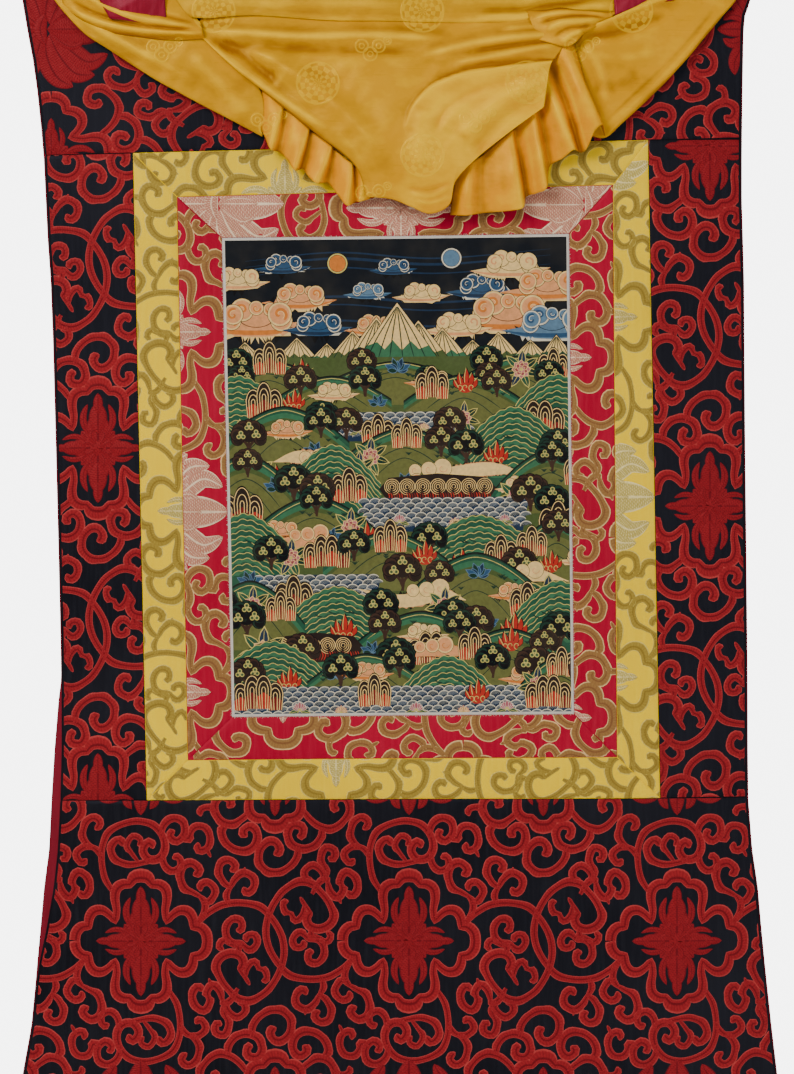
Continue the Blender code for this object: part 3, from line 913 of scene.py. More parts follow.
# %% Trees and flowers
def tree(s, t, size, tone="pine"):
    """A round dark crown of leaf clumps on a forked trunk, with three clusters of fruit."""
    dark, rim = ("line", "pine") if tone == "pine" else ("umber", "brown")
    for side in (-1, 0, 1):
        stroke(around(s, t, size, size, [(0, 0), (side * 0.1, 0.5), (side * 0.5, 0.95)]),
               size * 0.14, "brown", False)
    for i in range(9):
        angle = math.pi * (1.12 - 1.24 * ((i * 4) % 9) / 8)
        x, y = s + 0.66 * size * math.cos(angle), t - size * (1.0 + 0.55 * math.sin(angle))
        disc(x, y, size * 0.36, "line", count=12)
        disc(x, y, size * 0.32, rim, count=12)
        disc(x + size * 0.03, y + size * 0.05, size * 0.25, dark, count=12)
    disc(s, t - size * 1.1, size * 0.46, dark, count=14)
    for x, y in dice.uniform(-1, 1, (14, 2)):
        x, y = s + x * size * 0.7, t - size * (1.2 + 0.45 * y)
        stroke([(x, y), (x + 1.6, y - 1.2)], 0.7, rim)
    for x, y in ((-0.42, -1.02), (0.4, -1.08), (0.02, -1.5)):
        for dx, dy in ((-0.12, 0.08), (0.12, 0.08), (0.0, -0.12)):
            for share, pigment, count in ((0.125, "gold", 10), (0.085, "leaf", 8),
                                          (0.035, "umber", 6)):
                disc(s + (x + dx) * size, t + (y + dy) * size, size * share, pigment, count=count)


PETAL_SHAPE = np.array([(0, 0.02), (0.22, 0.36), (0.5, 0.5), (0.76, 0.36), (1, 0), (0.76, -0.36),
                        (0.5, -0.5), (0.22, -0.36)])


def petal(s, t, long, wide, angle, pigment, rim="cream", vein=None):
    """A pointed petal or leaf with a pale edge, and a line down its middle if vein is given."""
    ahead = np.array([math.cos(angle), math.sin(angle)]) * long
    aside = np.array([-math.sin(angle), math.cos(angle)]) * wide
    for share, tone in ((1.0, rim), (0.82, pigment)):
        along, across = (PETAL_SHAPE[:, 0] - 0.5) * share + 0.5, PETAL_SHAPE[:, 1] * share
        touch((s, t) + np.outer(along, ahead) + np.outer(across, aside), tone)
    if vein:
        stroke((s, t) + np.outer((0, 0.45, 0.85), ahead), 0.55, vein)


def lotus(s, t, size, pigment="pink", rim="white"):
    """A lotus from the side: two leaves, and petals from the outer ones to the middle one."""
    for angle in (math.pi - 0.28, 0.28):
        petal(s, t + 1, size * 1.5, size * 0.62, angle, "green", "gold", "gold")
    for angle in (-2.9, -0.24, -2.5, -0.64, -2.12, -1.02, -1.57):
        petal(s, t, size * (1.05 if angle == -1.57 else 0.98), size * 0.5, angle, pigment, rim,
              "rose")
    disc(s, t, size * 0.24, "gold", 0.6, 10)


def peony(s, t, size, pigment="pink"):
    """An open flower in a nest of dark leaves with pale edges."""
    for i in range(7):
        petal(s, t, size * 2.1, size * 0.85, i * math.tau / 7 + 0.3,
              ("pine", "green", "deep")[i % 3], "gold", "gold")
    for turn, (reach, count) in enumerate(((1.0, 8), (0.74, 7), (0.45, 5))):
        for i in range(count):
            petal(s, t, size * reach, size * reach * 0.75, i * math.tau / count + turn * 0.4,
                  "rose" if turn == 1 else pigment)
    disc(s, t, size * 0.2, "gold", count=10)


def flame_shrub(s, t, size):
    """A bush of five red, flame-shaped leaves with gold veins, over three curls."""
    for x, tall, lean in ((-0.7, 0.8, -0.5), (0.7, 0.8, 0.5), (-0.36, 1.15, -0.25),
                          (0.36, 1.15, 0.25), (0, 1.5, 0.06)):
        x, tall = s + x * size * 0.6, size * tall
        petal(x, t, tall, size * 0.46, -math.pi / 2 + lean, "red", "line")
        vein = [(x, t), (x + lean * 4 - 1.2, t - tall * 0.5),
                (x + lean * size * 0.8, t - tall * 0.96)]
        stroke(vein, 0.8, "gold")
    disc(s, t - size * 0.1, size * 0.5, "red", 0.7)
    for side in (-1, 0, 1):
        curl = spiral(s + side * size * 0.42, t - size * 0.12, size * 0.26, 0.95, 1.6, side or 1)
        stroke(curl, 0.75, "gold")


def shrub(s, t, size):
    """A low bush of blue-black leaves."""
    for i in range(9):
        petal(s, t, size * (0.8 + 0.3 * (i % 2)), size * 0.42, -math.pi * (0.04 + 0.92 * i / 8),
              ("deep", "blue", "pine")[i % 3], "pale")


# %% The sky and the mountains
CLOUD_GROWN, PEAK_WIDER, HORIZON = 1.35, 1.25, 118
SKY_CLOUDS = [
    (168, 26, 5.5, "dusk"), (196, 52, 6.5, "snow"), (142, 50, 5.5, "storm"),
    (58, 22, 6.5, "dusk"), (12, 36, 7.5, "snow"), (74, 54, 8.5, "dawn"), (30, 74, 12.5, "dawn"),
    (92, 82, 8.0, "dusk"), (256, 46, 8.0, "dusk"), (286, 24, 9.0, "snow"),
    (322, 44, 10.5, "dawn"), (282, 70, 13.0, "dawn"), (326, 82, 11.0, "storm"),
    (232, 84, 8.0, "snow"), (150, 84, 7.0, "dawn"),
]
# middle, width and height of each peak, the far ones first
PEAKS = [
    (18, 34, 20), (44, 30, 16), (70, 38, 24), (100, 30, 18), (246, 34, 20), (272, 40, 27),
    (304, 32, 19), (330, 30, 24), (126, 44, 30), (216, 44, 32), (150, 52, 44), (192, 50, 40),
    (171, 66, 58),
]
touch([(0, 0), (PAINT_WIDE, 0), (PAINT_WIDE, PAINT_HIGH), (0, PAINT_HIGH)], "night")
for t, width in ((16, 1.6), (22, 2.6), (31, 1.4), (60, 2.4), (68, 1.4), (84, 2.0)):
    stroke([(20, t + 5), (110, t - 3), (210, t + 4), (325, t - 4)], [0.3, width, width, 0.3],
           "deep", False, 4)
for s, t, body, halo in ((112, 24, "orange", "gold"), (226, 20, "pale", "white")):
    for radius, pigment in ((10.5, "line"), (10, halo), (8.6, "line"), (8.2, body)):
        disc(s, t, radius, pigment, count=30)
for s, t, size, tones in SKY_CLOUDS:
    cloud(s, t, size * CLOUD_GROWN, tones)
for i, (s, wide, high) in enumerate(PEAKS):
    peak(s, HORIZON + 4, wide * PEAK_WIDER, high, ("fern", "green", "moss")[i % 3])
for start, end, tones in ((2, 150, "dusk"), (192, 340, "snow")):
    mist([(start, 124), (start + 40, 121), (end - 40, 125), (end, 121)], 3.4, tones)
touch([(0, HORIZON), (PAINT_WIDE, HORIZON), (PAINT_WIDE, PAINT_HIGH), (0, PAINT_HIGH)], "moss")

# %% The land: where everything stands
LAND = [
    (plain_hill, 40, 142, 120, 22), (plain_hill, 168, 140, 128, 18),
    (plain_hill, 292, 142, 124, 24), (plain_hill, 104, 160, 120, 24),
    (plain_hill, 236, 162, 120, 26), (scaled_hill, 10, 172, 100, 36),
    (scaled_hill, 330, 176, 96, 38), (water, 96, 246, 178, 5), (plain_hill, 56, 202, 130, 36),
    (scaled_hill, 286, 214, 110, 44), (plain_hill, 176, 222, 132, 34),
    (scaled_hill, 104, 246, 96, 40), (plain_hill, 322, 250, 110, 38),
    (plain_hill, 16, 254, 110, 40), (bank, 150, 268, 250), (water, 132, 300, 264, 6),
    (plain_hill, 84, 292, 130, 36), (scaled_hill, 250, 312, 124, 34),
    (scaled_hill, 14, 316, 104, 42), (plain_hill, 328, 322, 96, 42),
    (plain_hill, 158, 326, 132, 34), (water, 24, 150, 340, 5), (plain_hill, 246, 356, 140, 42),
    (scaled_hill, 106, 384, 116, 36), (plain_hill, 18, 384, 110, 44),
    (scaled_hill, 330, 388, 108, 44), (plain_hill, 190, 406, 140, 34), (bank, 36, 132, 408),
    (plain_hill, 278, 424, 130, 34), (scaled_hill, 40, 440, 120, 38),
    (plain_hill, 134, 442, 120, 28), (scaled_hill, 216, 452, 96, 34),
    (plain_hill, 330, 452, 90, 34), (water, -6, 347, 452, 7),
]
GROWTH = {
    tree: [
        (14, 150, 9), (74, 152, 9, "umber"), (322, 152, 10), (262, 150, 9, "umber"),
        (200, 150, 8), (94, 196, 12), (118, 200, 11, "umber"), (222, 200, 11, "umber"),
        (20, 214, 12, "umber"), (238, 226, 12), (330, 226, 12), (64, 262, 13),
        (88, 268, 12, "umber"), (302, 274, 13, "umber"), (324, 282, 12), (200, 318, 12),
        (40, 330, 12), (290, 344, 12, "umber"), (172, 352, 13, "umber"), (14, 398, 13),
        (150, 384, 12), (222, 398, 13), (246, 402, 12, "umber"), (330, 412, 13),
        (70, 428, 12, "umber"), (164, 436, 13), (304, 446, 13, "umber"), (108, 448, 12),
        (14, 452, 12, "umber"), (262, 440, 12)],
    rocks: [
        (36, 176, 13, 3), (312, 196, 14, 4), (150, 206, 12, 3), (120, 262, 13, 3),
        (12, 286, 15, 3), (330, 300, 14, 3), (96, 326, 13, 4), (272, 328, 12, 3),
        (62, 372, 14, 3), (298, 378, 13, 3), (200, 424, 13, 4), (24, 468, 14, 4),
        (318, 468, 13, 4), (142, 466, 12, 3)],
    mist: [
        ([(44, 222), (70, 217), (104, 222), (128, 217)], 12.5),
        ([(296, 236), (262, 231), (214, 236), (190, 231)], 12.5),
        ([(22, 300), (52, 304), (90, 299), (112, 303)], 11.5, "dawn"),
        ([(340, 344), (306, 338), (268, 343)], 11.5),
        ([(128, 350), (170, 362), (210, 356), (236, 362)], 12.5),
        ([(252, 418), (214, 412), (176, 418)], 11.5, "dawn")],
    cloud: [
        (196, 244, 6.0, "dawn"), (34, 356, 6.0, "storm"), (262, 300, 6.0, "dusk"),
        (300, 434, 6.0, "dawn"), (116, 424, 5.5, "snow"), (60, 196, 5.5, "dusk")],
    peony: [
        (22, 236, 9), (318, 362, 9, "salmon"), (130, 230, 6.5, "salmon"), (60, 318, 7),
        (214, 368, 7), (30, 412, 9, "salmon"), (288, 260, 7.5), (236, 180, 6),
        (10, 196, 6, "salmon")],
    lotus: [
        (130, 192, 6), (196, 190, 6, "cream", "pink"), (170, 282, 7),
        (226, 286, 7, "cream", "pink"), (276, 282, 6), (54, 356, 6.5),
        (112, 354, 6.5, "cream", "pink"), (66, 470, 8), (108, 473, 7, "cream", "pink"),
        (184, 471, 8), (232, 474, 7, "cream", "pink"), (276, 470, 8)],
    flame_shrub: [
        (196, 218, 11), (46, 246, 10), (268, 224, 10), (136, 306, 11), (232, 334, 11),
        (322, 332, 9), (112, 398, 11), (186, 392, 9), (284, 398, 11), (56, 448, 10),
        (246, 462, 10), (66, 168, 9)],
    shrub: [
        (176, 246, 8), (18, 344, 9), (86, 214, 8), (256, 388, 9), (140, 414, 8), (336, 436, 9),
        (290, 186, 8), (210, 346, 8), (100, 300, 8), (150, 166, 7)],
}
LAND += [(kind, *spot) for kind, spots in GROWTH.items() for spot in spots]


def standing(item):
    """How far down the picture a thing stands; mist and water lie where they are drawn."""
    if item[0] is mist:
        return max(y for x, y in item[1]) + 6
    return item[3 if item[0] in (water, bank) else 2]


# %% Paint the land, from the things that stand furthest back
# how much larger than its listed size each thing is drawn, what else grows on the plain
# hills, and where: a share of the hill's width and of its height
GROWN = {tree: 1.55, rocks: 1.35, flame_shrub: 1.5, shrub: 1.5, peony: 1.4, cloud: 1.6}
FILLERS = [(tree, 11), (rocks, 12, 3), (flame_shrub, 10), (tree, 10, "umber"), (shrub, 9),
           (cloud, 5.0, "dawn"), (tree, 11), (peony, 7), (rocks, 11, 3), (tree, 11, "umber"),
           (cloud, 5.0, "snow")]
ON_HILL = ((-0.26, 0.12), (0.02, 0.42), (0.28, 0.1))
stands = [(standing(item), item) for item in LAND]
hills = [item for item in LAND if item[0] is plain_hill]
for i, (_, s, t, wide, high) in enumerate(hills):
    for k, (share, up) in enumerate(ON_HILL):
        kind, size, *rest = FILLERS[(3 * i + k) % len(FILLERS)]
        stands.append((t + 0.5, (kind, s + share * wide, t - up * high, size, *rest)))
for _, (kind, s, *rest) in sorted(stands, key=lambda pair: pair[0]):
    if kind in GROWN:
        rest[1] = rest[1] * GROWN[kind]
    kind(s, *rest)
print("touches of the brush:", len(touches))

# %% Stack the touches, to ask which one lies on top at any place
STACK_STEP = 0.01


def stack_of(touches):
    """Every touch as faces of its own, each a little above the one before."""
    corners, faces, owners = [], [], []
    for number, (left, right, _) in enumerate(touches):
        first = len(corners)
        outline = left if right is None else np.vstack([left, right])
        corners += [(x, y, number * STACK_STEP) for x, y in outline.tolist()]
        if right is None:
            faces.append(list(range(first, len(corners))))
        else:
            count = len(left)
            faces += [(i, i + 1, i + count + 1, i + count) for i in range(first, first + count - 1)]
        owners += [number] * (len(faces) - len(owners))
    return BVHTree.FromPolygons(corners, faces), owners


stack, owners = stack_of(touches)
ABOVE, DOWNWARDS = len(touches) * STACK_STEP + 1.0, Vector((0, 0, -1))


def on_top(x, y):
    """The number of the touch that shows at a place."""
    face = stack.ray_cast(Vector((x, y, ABOVE)), DOWNWARDS)[2]
    return 0 if face is None else owners[face]


# %% Keep the stretches of outline that show
def stretches(number, line, tests):
    """Pairs of neighbouring points on a line, where the touch shows at the test places."""
    shows = np.array([on_top(x, y) == number for x, y in tests])
    wide = np.convolve(shows, (1, 1, 1), mode="same") > 0
    return [(line[i], line[i + 1]) for i in np.nonzero(wide)[0]]


def fine_outline(outline, longest=3.0):
    """The closed outline, with points added so that no side is longer than longest."""
    parts = []
    for start, end in zip(outline, np.roll(outline, -1, axis=0)):
        count = max(1, math.ceil(float(np.linalg.norm(end - start)) / longest))
        parts.append(start + (end - start) * np.linspace(0, 1, count, endpoint=False)[:, None])
    return np.vstack(parts + [outline[:1]])


kept = []
for number, (left, right, _) in enumerate(touches):
    if right is None:
        line = fine_outline(left)
        ahead = np.diff(line, axis=0)
        inwards = np.stack([-ahead[:, 1], ahead[:, 0]], axis=1)
        inwards /= np.linalg.norm(inwards, axis=1)[:, None] + 1e-9
        kept += stretches(number, line, (line[1:] + line[:-1]) / 2 + 0.05 * inwards)
    else:
        middles = (left[1:] + left[:-1] + right[1:] + right[:-1]) / 4
        for line in (left, right):
            kept += stretches(number, line, middles)
        for end in (0, -1):
            if on_top(*middles[end]) == number:
                kept.append((left[end], right[end]))
print("stretches of outline that show:", len(kept))

# %% Cut the sheet of paint along them
PAINT_CELL = 8.0
PAINT_LIFT = 0.22
corners = [Vector(place) for pair in kept for place in pair]
for high, span, turn in ((PAINT_HIGH, PAINT_WIDE, False), (PAINT_WIDE, PAINT_HIGH, True)):
    for spot in [0.0, *np.arange(PAINT_CELL, span - 1, PAINT_CELL), span]:
        ends = [(float(spot), 0.0), (float(spot), high)]
        corners += [Vector(end[::-1] if turn else end) for end in ends]
cuts = [(i, i + 1) for i in range(0, len(corners), 2)]
places, _, cells, _, _, _ = delaunay_2d_cdt(corners, cuts, [], 0, 1e-3, False)
flat = np.array([tuple(place) for place in places])
middles = flat[np.array(cells)].mean(axis=1)
names = list(PIGMENTS)
shown = np.array([names.index(touches[on_top(x, y)][2]) for x, y in middles.tolist()])
print("triangles in the sheet before merging:", len(cells))

# %% Merge triangles of one pigment, and lay the sheet on the canvas
STRAIGHT = math.radians(6)


def on_canvas(s, t):
    """A place in the picture, as millimetres across and down on the scroll."""
    u, v = (MARGIN + s) / (PAINT_WIDE + 2 * MARGIN), (MARGIN + t) / (PAINT_HIGH + 2 * MARGIN)
    top, foot = ([(1 - u) * a + u * b for a, b in zip(CANVAS_OUTER[i], CANVAS_OUTER[k])]
                 for i, k in ((0, 1), (3, 2)))
    return [(1 - v) * a + v * b for a, b in zip(top, foot)]


sheet_mesh = bpy.data.meshes.new("painted_scene")
sheet_mesh.from_pydata([(x, -y, 0.0) for x, y in flat], [], [cell[::-1] for cell in cells])
block = (np.floor(middles / PAINT_CELL).sum(axis=1) % 2).astype(int)
sheet_mesh.polygons.foreach_set("material_index", shown + len(names) * block)
work = bmesh.new()
work.from_mesh(sheet_mesh)
bmesh.ops.dissolve_limit(work, angle_limit=STRAIGHT, use_dissolve_boundaries=False,
                         verts=work.verts[:], edges=work.edges[:], delimit={"MATERIAL"})
bmesh.ops.triangulate(work, faces=work.faces[:])
work.to_mesh(sheet_mesh)
work.free()
flat = np.array([vert.co[:] for vert in sheet_mesh.vertices])
x, down = on_canvas(flat[:, 0], -flat[:, 1])
depth = front(x, down) - CLOTH / 2 - PAINT_LIFT
sheet_mesh.vertices.foreach_set("co", (np.stack([x, depth, -down], axis=1) * MM).ravel())
pigment = sheet_mesh.color_attributes.new("pigment", "FLOAT_COLOR", "CORNER")
tones = np.array([(*PIGMENTS[name], 1.0) for name in names])
which = np.zeros(len(sheet_mesh.polygons), dtype=int)
sheet_mesh.polygons.foreach_get("material_index", which)
pigment.data.foreach_set("color", tones[np.repeat(which % len(names), 3)].ravel())
sheet_mesh.polygons.foreach_set("material_index", np.zeros(len(which), dtype=int))
sheet_mesh.update()
paint = add_object("painted_scene", sheet_mesh, "canvas", None)
print("paint on the canvas, triangles:", len(sheet_mesh.polygons))

# %% Frayed threads round the canvas
FRAY_EVERY, FRAY_WIDE = 2.2, 0.34


def frayed_edge():
    """Short loose threads that stand out past the canvas's raw edge."""
    work = bmesh.new()
    for start, end in closed(CANVAS_OUTER):
        start, whole = np.array(start, dtype=float), np.subtract(end, start)
        long = math.hypot(*whole)
        ahead = whole / long
        inwards = np.array([-ahead[1], ahead[0]])
        for i in range(int(long / FRAY_EVERY)):
            root = start + ahead * (i * FRAY_EVERY + float(dice.uniform(0, 2)))
            lean, out, back = (float(dice.uniform(low, high))
                               for low, high in ((-2, 2), (0.4, 1.6), (1.0, 2.6)))
            for k, vert in enumerate(grid_of(work, 4, 2)):
                along, side = (k // 2) / 3, (k % 2) - 0.5
                x, down = (root + inwards * (back - (out + back) * along)
                           + ahead * (lean * along ** 2 + side * FRAY_WIDE))
                raise_by = CLOTH / 2 + 0.10 + 0.5 * math.sin(math.pi * along)
                vert.co = (x * MM, (float(front(x, down)) - raise_by) * MM, -down * MM)
    face_front(work)
    return add_object("canvas_fray", as_mesh(work, "canvas_fray"), "canvas", None)


fray = frayed_edge()

# %% Each cloth of the front, measured along its grid
for name, piece in grounds.items():
    as_sheet(piece, cut_places[name], "stretched" if name == "painting" else "hung",
             [paint, fray] if name == "painting" else [scrolls[name]])

# %% [markdown]
# ## The silk veil
#
# A thin silk hangs in front of the painting and is drawn up out of the way: a flat upper
# band, a wing to each side, a deep swag in the middle and the pleats that fall out behind
# it. A cloth simulation would find folds of its own, so each part is lofted instead through
# given fold lines. A line runs from the top of the cloth to its hem and gives the
# place across, the place down and how far the silk stands in front of the brocade. Softer
# creases are then pressed into that surface.

# %% A surface through fold lines
# the fold lines count from the upper left corner of the view, which lies this far left of
# the scroll's middle and this far below its hanging edge
VIEW_X, VIEW_Y = 390.0, 60.0
# how strongly the painted fold shading follows the form, darker in the hollows and lighter on
# the ridges, and how many times the form is softened for it
FOLD_GAIN, SOFTENED = 0.75, 16


def loft(lines, across_cell, down_cell):
    """A grid through fold lines of (x, y, out), in the order left to right."""
    long = max(length_so_far([point[:2] for point in line])[-1] for line in lines)
    shares = np.linspace(0, 1, max(6, int(round(long / down_cell))))
    known = with_ends(np.stack([along_line(smooth_path(line, 1.0), shares) for line in lines]))
    columns = []
    for four in zip(known[:-3], known[1:-2], known[2:-1], known[3:]):
        gap = np.linalg.norm(four[2] - four[1], axis=1).max()
        steps = max(3, int(round(gap / across_cell)))
        columns += [smooth_between(*four, t) for t in np.arange(steps) / steps]
    return np.stack(columns + [known[-2]])


def near_line(x, y, points):
    """Distance from a line of points, the share of the way along it, and the side."""
    best, share, side = np.full(x.shape, 1e9), np.zeros(x.shape), np.ones(x.shape)
    gone = length_so_far(points)
    for start, end, first, last in zip(points[:-1], points[1:], gone[:-1], gone[1:]):
        away, part = from_side(x, y, start, end)
        closer = away < best
        best = np.where(closer, away, best)
        share = np.where(closer, (first + part * (last - first)) / gone[-1], share)
        turn = (end[0] - start[0]) * (y - start[1]) - (end[1] - start[1]) * (x - start[0])
        side = np.where(closer, np.sign(turn), side)
    return best, share, side


def press(grid, creases, folds=()):
    """Presses creases (height, width, points) and folded edges (height, reach, points) in."""
    x, y = grid[..., 0], grid[..., 1]
    for height, width, points in creases:
        away, share, _ = near_line(x, y, smooth_path(points, 4.0))
        fade = np.clip(np.sin(math.pi * np.clip(share, 0.02, 0.98)) * 2.2, 0, 1)
        grid[..., 2] += height * np.exp(-(away / width) ** 2) * fade
    for height, reach, points in folds:
        away, share, side = near_line(x, y, smooth_path(points, 4.0))
        signed = away * side
        rise = np.clip(signed / 3.0 + 0.5, 0, 1)
        rise = rise * rise * (3 - 2 * rise)
        grid[..., 2] += height * share ** 0.7 * rise * np.exp(-np.maximum(signed, 0) / reach)
    return grid


def soften(values, times):
    """Each value mixed with its four neighbours, again and again."""
    for _ in range(times):
        wide = np.pad(values, 1, mode="edge")
        beside = wide[:-2, 1:-1] + wide[2:, 1:-1] + wide[1:-1, :-2] + wide[1:-1, 2:]
        values = (beside + 2 * values) / 6
    return values


def silk(name, lines, creases=(), folds=(), thickness=0.5, across_cell=3.0, down_cell=3.5,
         tone=0.5, shine=None):
    """One lofted part of the veil. tone is 0 where the silk looks olive, 1 gold and 2 amber,
    partly the silk's own colour and partly painted light and shade. The value fold is painted
    shade below zero, in the hollows, and a painted highlight above zero, on the ridges of the
    silk; shine adds more painted highlight to it."""
    grid = press(loft(lines, across_cell, down_cell), creases, folds)
    x, y, out = grid[..., 0], grid[..., 1], grid[..., 2]
    crumple = 0.30 * np.sin(x / 9.1 + 2 * np.sin(y / 21)) * np.sin(y / 7.7 + x / 33)
    crumple += 0.22 * np.sin((x + y) / 5.3 + 1.5 * np.sin(x / 14))
    across, down = x - VIEW_X, y + VIEW_Y
    places = np.stack([across, hang(across, down) - out - crumple, down], axis=2)
    # fold: painted shade where the form is hollow, painted highlight where it stands out, plus the
    # painted highlight of shine
    fold = np.clip(FOLD_GAIN * (out - soften(out, SOFTENED)), -1, 1)
    fold = fold + (shine(x, y) if shine else 0)
    piece = add_object(name, grid_mesh(name, places, fold=fold), "veil_silk", None, thickness)
    as_sheet(piece, places, "gathered")
    points = [(vert.co.x / MM + VIEW_X, -vert.co.z / MM - VIEW_Y) for vert in piece.data.vertices]
    # tone: partly the silk's own colour, partly painted shade and light
    shade = tone(*np.array(points).T) if callable(tone) else np.full(len(points), tone)
    piece.data.attributes.new("tone", "FLOAT", "POINT").data.foreach_set("value", shade)
    return piece


# %% The band along the top and the two wings
BAND = [[(160, -58, 6), (165, -20, 9), (170, 15, 13)]]
BAND += [[(x, -58, 6), (x, -20, middle), (x, y, out)] for x, middle, y, out in (
    (204, 10, 20, 14), (254, 10, 17, 14), (328, 10, 22, 15), (380, 10, 22.5, 15),
    (430, 10, 24, 15), (475, 10, 24.5, 15), (519, 10, 24, 15), (545, 10, 17, 15),
    (580, 10, 14, 14), (616, 9, 14, 12))]
WING_LEFT = [
    [(38, -58, 6), (38, -40, 7), (38, -24, 7)],
    [(54, -58, 6), (54, -30, 8), (55, 1, 8)],
    [(70, -58, 6), (70, -20, 9), (69, 18, 9)],
    [(92, -58, 6), (90, -10, 10), (87, 36, 9)],
    [(115, -58, 6), (113, 0, 11), (110, 51, 9)],
    [(150, -40, 8), (152, 20, 12), (153, 79, 10)],
    [(190, 10, 10), (188, 50, 12), (180, 94, 10)],
    [(205, 30, 11), (210, 70, 12), (204, 107, 10)],
    [(215, 40, 11), (240, 80, 12), (235, 123, 10)],
    [(232, 58, 11), (262, 95, 12), (263, 138, 10)],
]
WING_RIGHT = [
    [(560, 44, 9), (572, 90, 8), (584, 134, 8)],
    [(574, 44, 12), (590, 90, 12), (604, 139, 10)],
    [(582, 34, 16), (608, 80, 13), (622, 124, 10)],
    [(592, 28, 19), (630, 70, 14), (648, 100, 10)],
    [(606, 22, 20), (648, 55, 14), (668, 80, 10)],
    [(624, 14, 18), (668, 40, 13), (688, 58, 10)],
    [(640, 6, 16), (688, 22, 12), (706, 36, 9)],
    [(660, -8, 13), (704, 5, 10), (722, 17, 8)],
    [(690, -40, 9), (722, -20, 8), (736, -1, 7)],
    [(736, -58, 6), (736.5, -40, 6), (737, -20, 7)],
]
# The tone of each part below is partly the silk's own colour and partly painted light and shade:
# the more olive parts stand for silk in shade, the more golden parts for silk in light.
band = silk("veil_band", BAND, [
    (1.2, 7, [(180, 2), (260, 6), (340, 4), (420, 8)]),
    (-1.0, 6, [(200, 12), (300, 13), (420, 15), (520, 12)]),
    (0.8, 5, [(420, -4), (500, 2), (600, 0)]),
    (2.0, 3.5, [(616, 6), (590, 8), (560, 14), (520, 18), (470, 19)]),
    (-1.6, 3.0, [(600, 0), (565, 5), (520, 11), (480, 12)]),
], tone=lambda x, y: 0.05 + 0.3 * np.clip(y / 24, 0, 1))
wing_left = silk("veil_wing_left", WING_LEFT, [
    (1.6, 8, [(190, 50), (215, 80), (250, 118)]),
    (-1.4, 9, [(150, 50), (185, 75), (225, 104)]),
    (0.9, 6, [(95, 30), (140, 52), (190, 66)]),
    (1.4, 4, [(70, 8), (100, 30), (150, 58), (200, 84)]),
], tone=0.30)
wing_right = silk("veil_wing_right", WING_RIGHT, [
    (3.2, 4.5, [(584, 31), (604, 22), (630, 12), (660, 0), (680, -12)]),
    (-2.6, 6, [(580, 40), (612, 36), (640, 26), (668, 14)]),
    (1.3, 7, [(590, 56), (622, 60), (656, 52)]),
    (-1.4, 8, [(592, 84), (612, 88), (640, 76)]),
    (0.8, 3.0, [(606, 127), (640, 98), (672, 68), (700, 36), (722, 8)]),
    (-0.8, 2.0, [(602, 124), (634, 96), (666, 66), (693, 36), (714, 8)]),
    (1.8, 5.0, [(582, 44), (598, 70), (606, 104)]),
], tone=0.75)

# %% The rolled folds at the left gather, and the twist at the right one
ROLL_LEFT = [
    [(62, -58, 8), (62, -30, 10), (62, -5, 9.5), (64, 8, 8)],
    [(85, -58, 8), (84, -30, 13), (84, 0, 14), (84, 22, 10)],
    [(105, -58, 9), (105, -20, 14), (108, 8, 17), (108, 33, 11)],
    [(140, -40, 10), (140, 0, 15), (143, 22, 19), (143, 39, 12)],
    [(168, -10, 12), (168, 15, 17), (170, 30, 21), (170, 42, 13)],
    [(188, 16, 14), (188, 27, 19), (189, 36, 21), (189, 41.5, 14)],
    [(202, 24, 14), (203, 31, 19), (204, 36, 20), (206, 40, 14)],
]
TWIST = [
    [(526, 12, 14), (530, 26, 19), (536, 42, 21)],
    [(545, 12, 16), (548, 26, 24), (552, 47, 25)],
    [(560, 10, 17), (563, 25, 27), (565, 50, 26)],
    [(575, 12, 17), (579, 24, 27), (574, 46, 26)],
    [(590, 13, 16), (592, 22, 24), (582, 37, 24)],
    [(604, 14, 14), (602, 21, 20), (592, 31, 21)],
    [(616, 13, 12), (613, 17, 16), (606, 24, 18)],
]
# Their tone too is partly the silk's own colour and partly painted light and shade.
roll_left = silk("veil_roll_left", ROLL_LEFT, [
    (3.0, 2.6, [(66, 6), (90, 20), (125, 30), (165, 35), (200, 36)]),
    (-2.4, 2.4, [(70, 0), (95, 14), (130, 25), (165, 30), (200, 33)]),
    (2.6, 2.6, [(80, -8), (105, 8), (135, 19), (168, 25), (200, 30)]),
    (-1.6, 2.4, [(90, -16), (112, 1), (140, 12), (170, 19), (200, 27)]),
], across_cell=2.5, down_cell=2.0, tone=0.55)
twist = silk("veil_twist", TWIST, [
    (2.6, 2.6, [(532, 20), (550, 16), (575, 14), (612, 17)]),
    (-2.2, 2.2, [(538, 26), (556, 21), (580, 19), (606, 20)]),
    (2.8, 2.6, [(545, 34), (560, 26), (582, 24), (600, 22)]),
    (-2.4, 2.2, [(552, 40), (566, 32), (580, 30), (592, 28)]),
    (2.2, 2.2, [(560, 46), (571, 38), (582, 34)]),
], across_cell=2.2, down_cell=1.8, tone=0.8)

